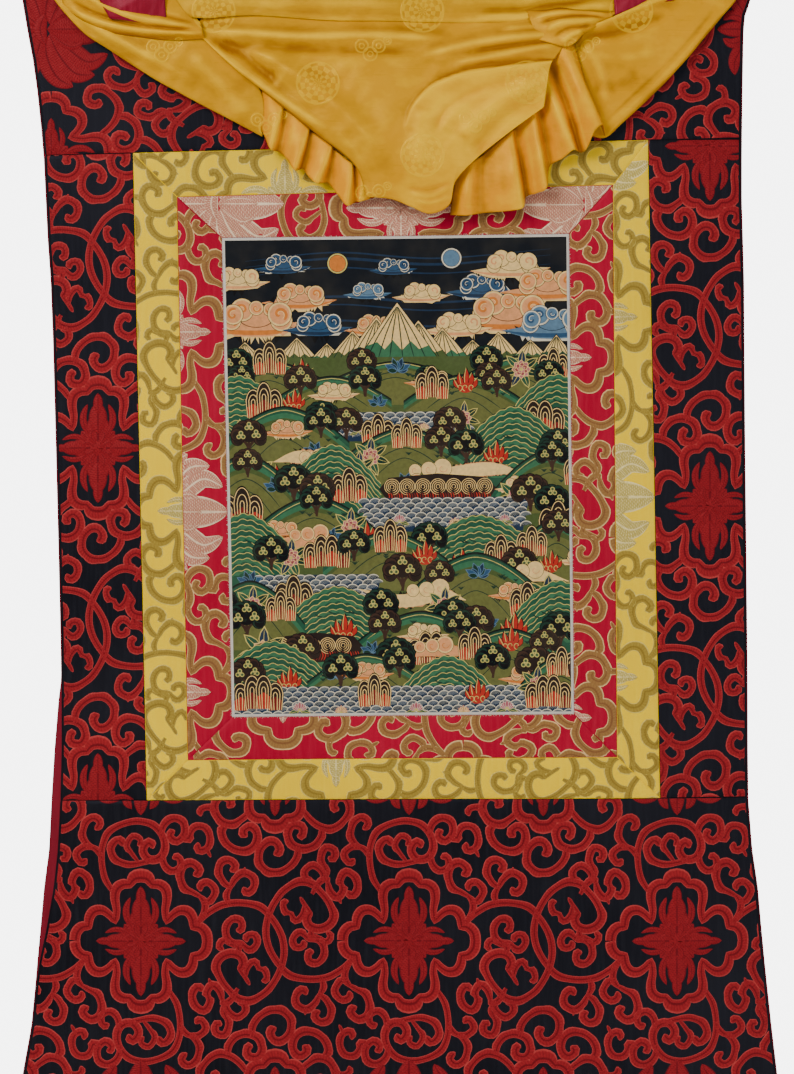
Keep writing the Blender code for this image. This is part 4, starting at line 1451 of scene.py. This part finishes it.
# %% The swag
SWAG = [
    [(199, 36, 14), (235, 70, 16), (271, 99, 18), (314, 134, 21), (354, 166, 24), (367, 199, 26)],
    [(206, 16, 9), (262, 64, 19), (312, 108, 25), (360, 158, 29), (381, 200, 27)],
    [(255, 8, 9), (295, 60, 21), (345, 112, 28), (383, 165, 31), (394, 202, 28)],
    [(320, 8, 9), (345, 60, 22), (375, 118, 30), (402, 170, 33), (411, 209, 29)],
    [(390, 8, 9), (396, 60, 23), (408, 118, 31), (421, 170, 33), (430, 216, 29)],
    [(450, 8, 9), (447, 62, 24), (446, 100, 30), (447, 150, 33), (449, 207, 29)],
    [(500, 8, 9), (495, 55, 25), (485, 95, 30), (470, 140, 32), (455, 184, 29)],
    [(538, 8, 11), (528, 50, 25), (517, 88, 29), (497, 125, 30), (475, 162, 28)],
    [(556, 24, 15), (544, 55, 25), (535, 80, 28), (525, 105, 29), (510, 134, 27)],
    [(568, 42, 19), (556, 58, 23), (549, 70, 25), (546, 90, 26), (543, 110, 26)],
]
SWAG_TURN = [(404, 132), (411, 110), (430, 89), (450, 79.5), (470, 74), (500, 70), (552, 64)]


def swag_lit_tone(x, y):
    """Olive gold above the turned fold, full gold on the fold that comes forward below it, and
    more gold to the right and low on the right: partly the silk's own colour, partly painted
    light where the silk faces the lamps and painted shade above the fold.
    """
    away, share, side = near_line(x, y, smooth_path(SWAG_TURN, 6.0))
    below = np.clip(away * side / 5 + 0.5, 0, 1) * np.clip(share * 5, 0, 1)
    low = np.clip((y - 120) / 60, 0, 1) * np.clip((x - 330) / 90, 0, 1)
    return 0.38 + 0.25 * np.clip((x - 240) / 260, 0, 1) + 0.42 * np.maximum(below, low)


SHINE_EDGE = [(386, 206), (394, 168), *SWAG_TURN]


def swag_painted_shine(x, y):
    """The side of the swag that faces the lamp, from the turned fold down to the nose, where a
    highlight is painted into the silk's colour.
    """
    away, _, side = near_line(x, y, smooth_path(SHINE_EDGE, 6.0))
    return 0.85 * np.clip(away * side / 24 + 0.25, 0, 1) * np.clip(1.4 - (y - 60) / 150, 0.5, 1)


swag = silk("veil_swag", SWAG, [
    (3.4, 4.5, [(199, 34), (240, 34), (300, 38), (380, 37), (450, 42)]),
    (-2.6, 6.0, [(205, 42), (250, 48), (330, 52), (430, 54)]),
    (-4.4, 8.0, [(218, 44), (245, 56), (280, 84)]),
    (3.2, 5.0, [(200, 40), (232, 66), (285, 104), (330, 134)]),
    (2.4, 9.0, [(240, 46), (300, 78), (350, 120), (390, 165)]),
    (-2.4, 12.0, [(300, 60), (350, 96), (385, 130)]),
    (2.8, 4.5, [(566, 34), (528, 38), (480, 44), (420, 58)]),
    (-2.6, 3.6, [(562, 42), (520, 47), (470, 54)]),
    (2.2, 3.6, [(562, 46), (528, 52), (488, 60), (450, 66)]),
    (1.8, 2.6, [(566, 26), (540, 28), (500, 31)]),
    (3.0, 8.0, [(540, 84), (500, 104), (460, 140)]),
    (-3.0, 7.0, [(544, 98), (505, 122), (470, 158)]),
    (-1.8, 6.0, [(520, 84), (480, 92), (446, 112), (432, 140)]),
    (2.4, 10.0, [(424, 110), (420, 140), (424, 170)]),
    (0.9, 2.0, [(410, 196), (430, 198), (450, 190)]),
    (0.9, 1.8, [(414, 203), (432, 205), (449, 199)]),
    (-0.8, 2.0, [(405, 190), (428, 192), (452, 184)]),
], [(11.0, 24.0, SWAG_TURN)], across_cell=2.8, down_cell=2.6, tone=swag_lit_tone, shine=swag_painted_shine)

# %% The pleats that fall out behind the swag
PLEATS_LEFT = [
    [(262, 92, 11), (264, 110, 11), (261, 128, 10)],
    [(272, 98, 15), (270, 125, 17), (266, 140, 15)],
    [(283, 106, 16), (277, 130, 20), (271, 151, 19)],
    [(286, 110, 12), (283, 135, 12), (279, 153, 11)],
    [(297, 118, 16), (293, 140, 18), (287, 160, 16)],
    [(309, 130, 18), (302, 152, 21), (295, 172, 20)],
    [(311, 132, 12), (308, 150, 12), (303, 170, 11)],
    [(322, 140, 17), (317, 160, 18), (309, 178, 17)],
    [(332, 148, 19), (325, 168, 21), (317, 185, 20)],
    [(334, 150, 13), (332, 165, 12), (328, 184, 11)],
    [(343, 158, 17), (342, 174, 18), (338, 196, 16)],
    [(352, 165, 20), (351, 180, 21), (347, 207, 20)],
    [(355, 167, 14), (356, 185, 14), (356, 203, 13)],
    [(364, 172, 19), (363, 188, 19), (360, 203, 17)],
    [(372, 180, 14), (372, 190, 14), (370, 200, 13)],
]
PLEATS_RIGHT = [
    [(455, 178, 14), (452, 200, 14), (450, 216, 13)],
    [(470, 166, 20), (468, 190, 22), (466, 217, 20)],
    [(483, 156, 15), (482, 190, 16), (484, 214, 14)],
    [(497, 144, 19), (500, 180, 22), (504, 213, 21)],
    [(510, 134, 21), (516, 175, 26), (522, 210, 25)],
    [(514, 130, 13), (521, 165, 13), (526, 198, 12)],
    [(524, 120, 18), (531, 160, 22), (536, 195, 20)],
    [(531, 104, 19), (540, 155, 27), (546, 190, 26)],
    [(534, 94, 11), (544, 140, 12), (549, 168, 11)],
    [(537, 82, 14), (553, 130, 19), (562, 160, 18)],
    [(541, 70, 16), (560, 118, 24), (573, 152, 23)],
    [(546, 60, 13), (566, 108, 14), (580, 154, 13)],
    [(551, 52, 17), (571, 98, 23), (586, 150, 22)],
    [(557, 46, 19), (577, 93, 30), (594, 133, 29)],
    [(564, 44, 20), (584, 88, 28), (602, 128, 26)],
    [(574, 48, 16), (588, 95, 16), (604, 137, 13)],
]
# The pleats are painted amber: warm light caught and bounced in the bunched silk, painted into its
# colour.
pleats_left = silk("veil_pleats_left", PLEATS_LEFT, across_cell=2.0, down_cell=2.6, tone=1.5)
pleats_right = silk("veil_pleats_right", PLEATS_RIGHT, across_cell=2.0, down_cell=2.8, tone=1.4)
veil_parts = [band, wing_left, wing_right, roll_left, twist, swag, pleats_left, pleats_right]
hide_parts("veil")
print("veil faces:", sum(len(part.data.polygons) for part in veil_parts))

# %% [markdown]
# ## The two ribbons
#
# Two crimson ribbons hang over the veil from the top. When the painting is shown they tie the
# drawn-up silk. Here they run straight down and end, cut square, just below the gathers. They
# are lofted in the same way, with a few creases left by the knot.

# %% Ribbons
RIBBON_LEFT = [
    [(98, -58, 12), (99, -20, 16), (100, 0, 18.5), (111, 21, 17.5)],
    [(120, -58, 12), (120, -20, 17), (122, 0, 19.5), (129, 23, 18)],
    [(144, -58, 12), (144, -20, 16), (146, 0, 19), (149, 26, 17.5)],
    [(166, -58, 12), (166, -20, 15), (166, 0, 18.5), (168, 29, 17)],
]
RIBBON_RIGHT = [
    [(612, -58, 10.5), (612, -20, 12), (613, 0, 14), (614, 19, 15)],
    [(632, -58, 10.5), (632, -20, 13), (632, -2, 14.5), (632, 13, 15.5)],
    [(652, -58, 10.5), (652, -20, 12.5), (652, -6, 14), (652, 6, 15)],
    [(673, -58, 10.5), (673, -20, 12), (673, -10, 13), (673, 2, 14)],
]
ribbon_left = silk("ribbon_left_silk", RIBBON_LEFT, [
    (1.2, 2.2, [(118, 14), (140, 0), (160, -16)]), (-1.0, 2.6, [(108, 6), (128, -8), (150, -26)]),
    (0.8, 2.0, [(150, 24), (158, 8), (162, -10)])], thickness=0.7)
ribbon_right = silk("ribbon_right_silk", RIBBON_RIGHT, [
    (1.0, 2.2, [(618, 10), (640, -4), (664, -20)])], thickness=0.7)
for piece, node in ((ribbon_left, "ribbon_left"), (ribbon_right, "ribbon_right")):
    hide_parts(node)

# %% [markdown]
# ## Finishes
#
# Each cloth gets its weave, its sheen and its unevenness from nodes. A pattern on flat
# hanging cloth reads Object coordinates, because the piece lies where it was cut. Raised
# threads read the values that were stored along and across each line, so the cord of a
# scroll turns with the scroll. Numbers that are the same all over a cloth stay on the
# shader itself. A tree of nodes is hard to read as a list of links, so a small class stands
# for the output of a node, and a sum of two outputs is written as a sum.

# %% Outputs of nodes that can be added and multiplied
def node(tree, kind, inputs=None, **settings):
    """Adds a node; an input is a value or the field that feeds it."""
    made = tree.nodes.new(kind)
    for name, value in settings.items():
        setattr(made, name, value)
    for name, value in (inputs or {}).items():
        if isinstance(value, Field):
            tree.links.new(value.socket, made.inputs[name])
        else:
            made.inputs[name].default_value = value
    return made


class Field:
    """A number or colour that changes over a surface: the output of a node."""

    def __init__(self, made, output=0):
        self.socket, self.tree = made.outputs[output], made.id_data

    def maths(self, operation, other=0.0):
        return Field(node(self.tree, "ShaderNodeMath", {0: self, 1: other}, operation=operation))

    def __add__(self, other):
        return self.maths("ADD", other)

    def __sub__(self, other):
        return self.maths("SUBTRACT", other)

    def __mul__(self, other):
        return self.maths("MULTIPLY", other)

    def __truediv__(self, other):
        return self.maths("DIVIDE", other)

    def ranged(self, low, high, to_low=0.0, to_high=1.0, kind="LINEAR"):
        """Moves the range low to high onto another, and holds the result inside it."""
        values = {0: self, 1: low, 2: high, 3: to_low, 4: to_high}
        return Field(node(self.tree, "ShaderNodeMapRange", values, interpolation_type=kind))

    def soft(self, low, high):
        """0 at low and 1 at high, with a soft start and end."""
        return self.ranged(low, high, kind="SMOOTHSTEP")

    def mix(self, first, second):
        """Two colours, mixed by this field."""
        first, second = (tone if isinstance(tone, Field) else (*tone, 1.0)
                         for tone in (first, second))
        return Field(node(self.tree, "ShaderNodeMix", {0: self, 6: first, 7: second},
                          data_type="RGBA"), 2)

    def noise(self, scale, detail=3.0, rough=0.55, stretch=None):
        """Noise at these places, in metres; a small stretch figure lengthens it that way."""
        where = self
        if stretch:
            where = Field(node(self.tree, "ShaderNodeMapping", {"Vector": self, "Scale": stretch}))
        return Field(node(self.tree, "ShaderNodeTexNoise", {
            "Vector": where, "Scale": scale, "Detail": detail, "Roughness": rough}), "Fac")

    def threads(self, pitch, direction, wobble=1.2):
        """Fine parallel threads at these places; pitch in metres."""
        return Field(node(self.tree, "ShaderNodeTexWave", {
            "Vector": self, "Scale": math.tau / (20 * pitch), "Distortion": wobble,
            "Detail": 1.0, "Detail Scale": 0.4}, bands_direction=direction), "Fac")


class Finish:
    """A material, with the values that are the same all over set on its shader."""

    def __init__(self, name, **fixed):
        self.material = bpy.data.materials.new(name)
        self.material.use_nodes = True
        self.tree = self.material.node_tree
        self.shader = self.tree.nodes["Principled BSDF"]
        for key, value in fixed.items():
            self.shader.inputs[key.replace("_", " ")].default_value = value
        self.where = Field(node(self.tree, "ShaderNodeTexCoord"), "Object")

    def stored(self, name, output="Fac"):
        """A value that the mesh stores on its points."""
        return Field(node(self.tree, "ShaderNodeAttribute", attribute_name=name), output)

    def paint(self, colour, rough, height=None, strength=1.0, distance=0.0):
        """Feeds the shader: colour, roughness, and the height that its bump follows."""
        feeds = [("Base Color", colour), ("Roughness", rough)]
        if height:
            values = {"Strength": strength, "Distance": distance, "Height": height}
            feeds.append(("Normal", Field(node(self.tree, "ShaderNodeBump", values))))
        for key, field in feeds:
            self.tree.links.new(field.socket, self.shader.inputs[key])
        return self.material


def silky(name, sheen, sheen_rough, tint, level):
    """A finish whose sheen and gloss take the colour of its thread."""
    return Finish(name, Sheen_Weight=sheen, Sheen_Roughness=sheen_rough, Sheen_Tint=(*tint, 1.0),
                  Specular_Tint=(*tint, 1.0), Specular_IOR_Level=level)


# %% Satin ground: long warp threads, soft streaks and patches of painted sheen, and a faint slanting twill
def satin(name, deep, sheen_lit, sheen_streak, rough, sheen, tint, level=0.35):
    cloth = silky(name, sheen, 0.35, tint, level)
    warp, twill = cloth.where.threads(0.0011, "X"), cloth.where.threads(0.0016, "DIAGONAL", 0.6)
    sheen_streaks = cloth.where.noise(90, 3, 0.6, (3.0, 1.0, 0.25))
    patches = cloth.where.noise(7, 2)
    # lighter patches and streaks at random places: partly the cloth's uneven colour, partly painted
    # sheen
    colour = patches.ranged(0.3, 0.72).mix(deep, sheen_lit)
    colour = sheen_streaks.ranged(0.45, 0.85, 0.0, 0.55).mix(colour, sheen_streak)
    colour = warp.ranged(0.0, 1.0, 0.0, 0.28).mix(colour, deep)
    return cloth.paint(colour, sheen_streaks.ranged(0.2, 0.8, rough - 0.08, rough + 0.1),
                       warp * 0.6 + twill * 0.4 + patches * 2.0, 0.35, 0.0002)


# %% Raised scroll thread: pale rims, a corded body and a dark sunk line
def raised_thread(name, tint, rim, body, groove, petal, petal_line):
    rough = 0.5
    thread = silky(name, 0.12, 0.4, tint, 0.25)
    across, along, fill = (thread.stored(key) for key in ("across", "along", "fill"))
    cord = (along * 2.6 + across * 3.2).maths("SINE").ranged(-1.0, 1.0)
    scroll = cord.ranged(0.0, 1.0, 0.0, 0.35).mix(body, groove)
    scroll = across.soft(0.26, 0.06).mix(scroll, groove)
    scroll = across.soft(0.66, 0.86).mix(scroll, rim)
    rib = (along * 3.4 + across * -5.0).maths("SINE").ranged(0.1, 0.9)
    rows = thread.where.threads(0.0017, "DIAGONAL", 3.0)
    leaf = (rib * rows).mix(petal, petal_line)
    leaf = across.soft(0.80, 0.95).mix(leaf, petal_line)
    leaf = across.soft(0.14, 0.03).mix(leaf, petal_line)
    worn, patches = thread.where.noise(260, 3, 0.6), thread.where.noise(9, 2)
    colour = worn.ranged(0.35, 0.75, 0.0, 0.30).mix(fill.mix(scroll, leaf), groove)
    colour = patches.ranged(0.3, 0.7, 0.0, 0.22).mix(colour, groove)
    return thread.paint(colour, worn.ranged(0.2, 0.8, rough - 0.1, rough + 0.12),
                        cord * 0.7 + rows * 0.5, 0.55, 0.00035)


# %% Silk of the veil: crossed fine threads, soft sheen, woven roundels and small clouds
ROUNDEL_PITCH, ROUNDEL_RADIUS, CURL_RADIUS = 0.104, 0.0220, 0.0062
ROW_PITCH = ROUNDEL_PITCH * 1.4
FIRST_ROUNDEL = 0.0195


def lattice(spot, column_shift, row_shift):
    """Place within the cell of a half drop lattice on the cloth."""
    parts = node(spot.tree, "ShaderNodeSeparateXYZ", {0: spot})
    column = (Field(parts, 0) + column_shift) / ROUNDEL_PITCH
    drop = column.maths("FLOOR").maths("FLOORED_MODULO", 2.0) * 0.5
    row = (Field(parts, 1) + row_shift) / ROW_PITCH + drop
    return ((column.maths("FRACT") - 0.5) * ROUNDEL_PITCH, (row.maths("FRACT") - 0.5) * ROW_PITCH)


def away_from(u, v, at_u=0.0, at_v=0.0):
    """Distance from a place in the cell."""
    u, v = u - at_u, v - at_v
    return (u * u + v * v).maths("SQRT")


def ring_line(away, radius, half, soft=0.0004):
    """A soft line at one distance from the middle."""
    return (away - radius).maths("ABSOLUTE").soft(half + soft, half - soft)


def woven_figures(spot):
    """A plain rosette in a ring, and a cloud of three curls between the rosettes."""
    u, v = lattice(spot, FIRST_ROUNDEL, 0.0)
    away = away_from(u, v)
    rays = (v.maths("ARCTAN2", u) * 8.0).maths("SINE").soft(-0.2, 0.2)
    rings = (away * (math.tau / 0.0088)).maths("SINE").soft(-0.15, 0.3)
    inside = away.soft(ROUNDEL_RADIUS + 0.0005, ROUNDEL_RADIUS - 0.0005)
    woven = (rings - rays).maths("ABSOLUTE") * inside
    woven = woven.maths("MAXIMUM", ring_line(away, ROUNDEL_RADIUS - 0.001, 0.0009))
    u, v = lattice(spot, FIRST_ROUNDEL + ROUNDEL_PITCH / 2, ROUNDEL_PITCH * 0.35)
    for at_u, at_v, share in ((-0.0085, 0.001, 1.0), (0.0085, 0.001, 1.0), (0.0, -0.007, 1.1),
                              (0.017, 0.006, 0.6)):
        away = away_from(u, v, at_u, at_v)
        curl = ring_line(away, CURL_RADIUS * share, 0.0008)
        curl = curl.maths("MAXIMUM", ring_line(away, CURL_RADIUS * share * 0.4, 0.0006))
        woven = woven.maths("MAXIMUM", curl)
    return woven


# olive where the silk is stretched, gold, and amber where it is bunched, partly the silk's own
# colours and partly painted shade and warm light; then the painted highlight on the ridges,
# the painted shade in the hollows and the woven figures
VEIL_TONES_AND_LIGHT = [(0.56, 0.27, 0.0005), (0.74, 0.315, 0.0005), (0.90, 0.30, 0.0005),
              (1.0, 0.56, 0.001), (0.27, 0.080, 0.0005), (0.95, 0.56, 0.006)]


def veil_silk(name, tones, rough=0.30):
    olive, gold, amber, painted_highlight, painted_shade, figure = tones
    cloth = silky(name, 0.05, 0.3, (1.0, 0.62, 0.06), 0.5)
    where = cloth.where
    woven = woven_figures(Field(node(cloth.tree, "ShaderNodeUVMap", uv_map="cloth")))
    warp, weft = where.threads(0.0009, "X", 0.8), where.threads(0.0012, "Z", 0.8)
    slub = where.noise(60, 3, 0.6, (0.35, 1.0, 5.0))
    # tone: olive, gold and amber, partly the silk's own colour and partly painted shade and light
    tone = cloth.stored("tone") + where.noise(11, 2).ranged(0.25, 0.75, -0.22, 0.22)
    colour = tone.ranged(0.0, 1.0).mix(olive, gold)
    colour = tone.ranged(1.0, 2.0).mix(colour, amber)
    # fold and its noise: painted shade in the hollows and painted highlight on the ridges of the
    # silk
    shading_noise = where.noise(26, 3, 0.6, (1.0, 1.0, 1.6))
    fold = cloth.stored("fold") + shading_noise.ranged(0.3, 0.7, -0.38, 0.38)
    colour = fold.ranged(-0.05, -1.0, 0.0, 0.85).mix(colour, painted_shade)
    colour = fold.ranged(0.1, 1.1, 0.0, 0.85).mix(colour, painted_highlight)
    colour = (woven * 0.42).mix(colour, figure)
    gloss = slub.ranged(0.2, 0.8, rough - 0.06, rough + 0.08) - woven * 0.14
    creases = where.noise(70, 3) * 1.6 + where.noise(22, 2, 0.5, (1.0, 1.0, 1.7)) * 5.0
    return cloth.paint(colour, gloss, (warp + weft) * 0.16 + woven + creases, 0.5, 0.0004)


# %% Gouache paint and raw canvas
def gouache(name):
    coat = Finish(name, Specular_IOR_Level=0.07)
    mottle, wash = coat.where.noise(240, 3, 0.6), coat.where.noise(38, 2, 0.5)
    colour = mottle.ranged(0.3, 0.8, 0.0, 0.32).mix(coat.stored("pigment", "Color"), (0.010,) * 3)
    colour = wash.ranged(0.4, 0.8, 0.0, 0.05).mix(colour, (0.30, 0.24, 0.14))
    weave = coat.where.threads(0.0010, "X", 0.6) * coat.where.threads(0.0010, "Z", 0.6)
    return coat.paint(colour, mottle.ranged(0.2, 0.8, 0.58, 0.80), weave + mottle, 0.3, 0.00025)


def raw_canvas(name):
    cloth = Finish(name, Specular_IOR_Level=0.2, Sheen_Weight=0.15)
    weave = cloth.where.threads(0.0009, "X", 1.0) * cloth.where.threads(0.0009, "Z", 1.0)
    dust = cloth.where.noise(120, 3)
    colour = weave.ranged(0.0, 0.8).mix((0.56, 0.50, 0.42), (0.80, 0.76, 0.68))
    colour = dust.ranged(0.55, 0.8, 0.0, 0.5).mix(colour, (0.42, 0.34, 0.25))
    return cloth.paint(colour, dust.ranged(0.3, 0.7, 0.75, 0.9), weave, 0.5, 0.0002)


# %% The finishes of this scroll
# deep colour, then the lighter colours of the patches and streaks, partly uneven colour and partly
# painted sheen; roughness, sheen, tint and, where it isn't 0.35, gloss
GROUNDS = {
    "panel": satin("black_satin", (0.0050, 0.0046, 0.0062), (0.0105, 0.0098, 0.0128),
                   (0.019, 0.019, 0.024), 0.44, 0.04, (0.55, 0.6, 0.85), 0.12),
    "yellow": satin("yellow_satin", (0.84, 0.53, 0.001), (0.98, 0.64, 0.002), (1.0, 0.72, 0.02),
                    0.42, 0.08, (1.0, 0.82, 0.15)),
    "red": satin("crimson_satin", (0.32, 0.0030, 0.020), (0.42, 0.005, 0.030),
                 (0.52, 0.020, 0.055), 0.42, 0.08, (1.0, 0.12, 0.2)),
    "painting": raw_canvas("raw_canvas"),
}
# tint; rim, body and groove of a scroll; petal and the lines on it
THREADS = {
    "panel": raised_thread("red_scroll_thread", (1.0, 0.30, 0.28), (0.50, 0.050, 0.046),
                           (0.33, 0.0150, 0.0195), (0.130, 0.0040, 0.0085),
                           (0.27, 0.011, 0.016), (0.12, 0.004, 0.009)),
    "yellow": raised_thread("olive_scroll_thread", (1.0, 0.85, 0.4), (0.80, 0.60, 0.12),
                            (0.38, 0.255, 0.036), (0.24, 0.150, 0.018),
                            (0.55, 0.42, 0.10), (0.95, 0.78, 0.34)),
    "red": raised_thread("tan_scroll_thread", (1.0, 0.7, 0.5), (0.90, 0.60, 0.25),
                         (0.32, 0.165, 0.046), (0.20, 0.080, 0.025),
                         (0.58, 0.22, 0.15), (1.0, 0.78, 0.52)),
}
ribbon_finish = satin("crimson_ribbon", (0.19, 0.003, 0.014), (0.29, 0.006, 0.024),
                      (0.40, 0.02, 0.05), 0.36, 0.16, (1.0, 0.3, 0.4), 0.4)
lining_finish = satin("maroon_lining", (0.15, 0.004, 0.013), (0.21, 0.007, 0.020),
                      (0.25, 0.015, 0.03), 0.62, 0.2, (1.0, 0.5, 0.5), 0.2)
dressed = [(piece, GROUNDS[name.split("_")[0]]) for name, piece in grounds.items()]
dressed += [(piece, THREADS[name.split("_")[0]]) for name, piece in scrolls.items()]
golden_silk = veil_silk("golden_silk", VEIL_TONES_AND_LIGHT)
dressed += [(piece, golden_silk) for piece in veil_parts]
dressed += [(ribbon_left, ribbon_finish), (ribbon_right, ribbon_finish)]
dressed += [(paint, gouache("gouache_paint")), (fray, GROUNDS["painting"])]
for piece, finish in dressed:
    piece.data.materials.append(finish)
print("finishes:", len({finish.name for _, finish in dressed}), "on", len(dressed), "pieces")

# %% [markdown]
# ## The back
#
# The back of a scroll is one plain cloth as large as the front. It hangs from the same upper
# edge, so it takes the same waves, but it isn't sewn to the seams of the front and stays
# smooth between them. It is a patch of the same kind, about 2 mm behind the front, and a
# narrow strip of it shows past the left side near the foot, where the front has drawn in.

# %% Lining
LINING_CELL, LINING_BEHIND, LINING_THICK = 9.0, 2.1, 1.0
ends = [[edge_point("lining_left", down), edge_point("lining_right", down)] for down in (0, LENGTH)]
sides = [side_points(side, 0, LENGTH) for side in ("lining_left", "lining_right")]
flat = patch(*ends, *sides, crowded(740, LINING_CELL), crowded(LENGTH, LINING_CELL))
x, down = flat[..., 0], flat[..., 1]
places = np.stack([x, hang(x, down) + 0.5 * dents(x + 40, down) + LINING_BEHIND, down], axis=2)
lining = add_object("back_lining", grid_mesh("back_lining", places), "lining_cloth", ["lining"],
                    LINING_THICK)
as_sheet(lining, places, "hung")
lining.data.materials.append(lining_finish)

# %% [markdown]
# ## Camera, light and floor
#
# The photograph is taken square on, from far enough away that the two sides look alike. A
# product photographer would hang the scroll before a white wall, with one large lamp high on
# the left and a weaker one on the right to open the shadows. Both are discs, so that the
# folds of the veil shade softly. A third, dim lamp stands behind and lights the lining. The
# wall is only the background light, bright towards the back and dim elsewhere. A plain pale
# floor lies below, out of the picture.

# %% Lamps
LAMPS = [
    # name, place, what it aims at, size, power, colour
    ("key", (-1.6, -2.6, 0.9), (0, 0, -0.5), 1.6, 78, (1.0, 0.98, 0.95)),
    ("fill", (1.8, -2.8, -0.4), (0, 0, -0.6), 2.2, 34, (0.96, 0.98, 1.0)),
    ("rear", (0.5, 2.6, 0.8), (0, 0, -0.6), 2.0, 14, (1.0, 1.0, 1.0)),
]


def add_to_scene(name, data, place=(0, 0, 0)):
    """An object in the scene that isn't part of the scroll."""
    made = bpy.data.objects.new(name, data)
    made.location = place
    bpy.context.scene.collection.objects.link(made)
    return made


for name, place, aim, size, power, colour in LAMPS:
    data = bpy.data.lights.new(name, "AREA")
    data.shape, data.size, data.energy, data.color = "DISK", size, power, colour
    lamp = add_to_scene(name, data, place)
    lamp.rotation_euler = (Vector(aim) - Vector(place)).to_track_quat("-Z", "Y").to_euler()
print("lamps:", len(LAMPS))

# %% Camera, square on to the scroll
VIEW_MIDDLE, VIEW_HEIGHT = (7.0, 597.0), 1074.0
CAMERA_AWAY, SENSOR = 4.2, 36.0
camera_data = bpy.data.cameras.new("camera")
camera_data.sensor_width = SENSOR
camera_data.lens = SENSOR * CAMERA_AWAY / (VIEW_HEIGHT * MM)
camera = add_to_scene("camera", camera_data,
                      (VIEW_MIDDLE[0] * MM, -CAMERA_AWAY, -VIEW_MIDDLE[1] * MM))
camera.rotation_euler = (math.pi / 2, 0, 0)
bpy.context.scene.camera = camera
print("lens:", round(camera_data.lens), "mm")

# %% The wall's light and the floor
ROOM_LIGHT, WALL_LIGHT = 0.30, 6.0
WALL_START, WALL_FULL = 0.66, 0.93
FLOOR_DOWN, FLOOR_HALF = 1.30, 1.15
world = bpy.data.worlds.new("studio")
bpy.context.scene.world = world
world.use_nodes = True
tree = world.node_tree
towards = node(tree, "ShaderNodeSeparateXYZ",
               {0: Field(node(tree, "ShaderNodeTexCoord"), "Generated")})
power = Field(towards, 1).ranged(WALL_START, WALL_FULL, ROOM_LIGHT, WALL_LIGHT, "SMOOTHSTEP")
tree.links.new(power.socket, tree.nodes["Background"].inputs["Strength"])
tree.nodes["Background"].inputs["Color"].default_value = (1.0, 1.0, 1.0, 1.0)

work = bmesh.new()
bmesh.ops.create_grid(work, x_segments=8, y_segments=8, size=FLOOR_HALF)
bmesh.ops.translate(work, verts=work.verts[:], vec=(0, 0, -FLOOR_DOWN))
floor = add_to_scene("floor", as_mesh(work, "floor"))
pale = Finish("pale_floor", Roughness=0.7)
colour = pale.where.noise(3, 3).mix((0.80, 0.80, 0.79), (0.86, 0.86, 0.85))
pale.tree.links.new(colour.socket, pale.shader.inputs["Base Color"])
floor.data.materials.append(pale.material)

# %% Update the scene
bpy.context.view_layer.update()
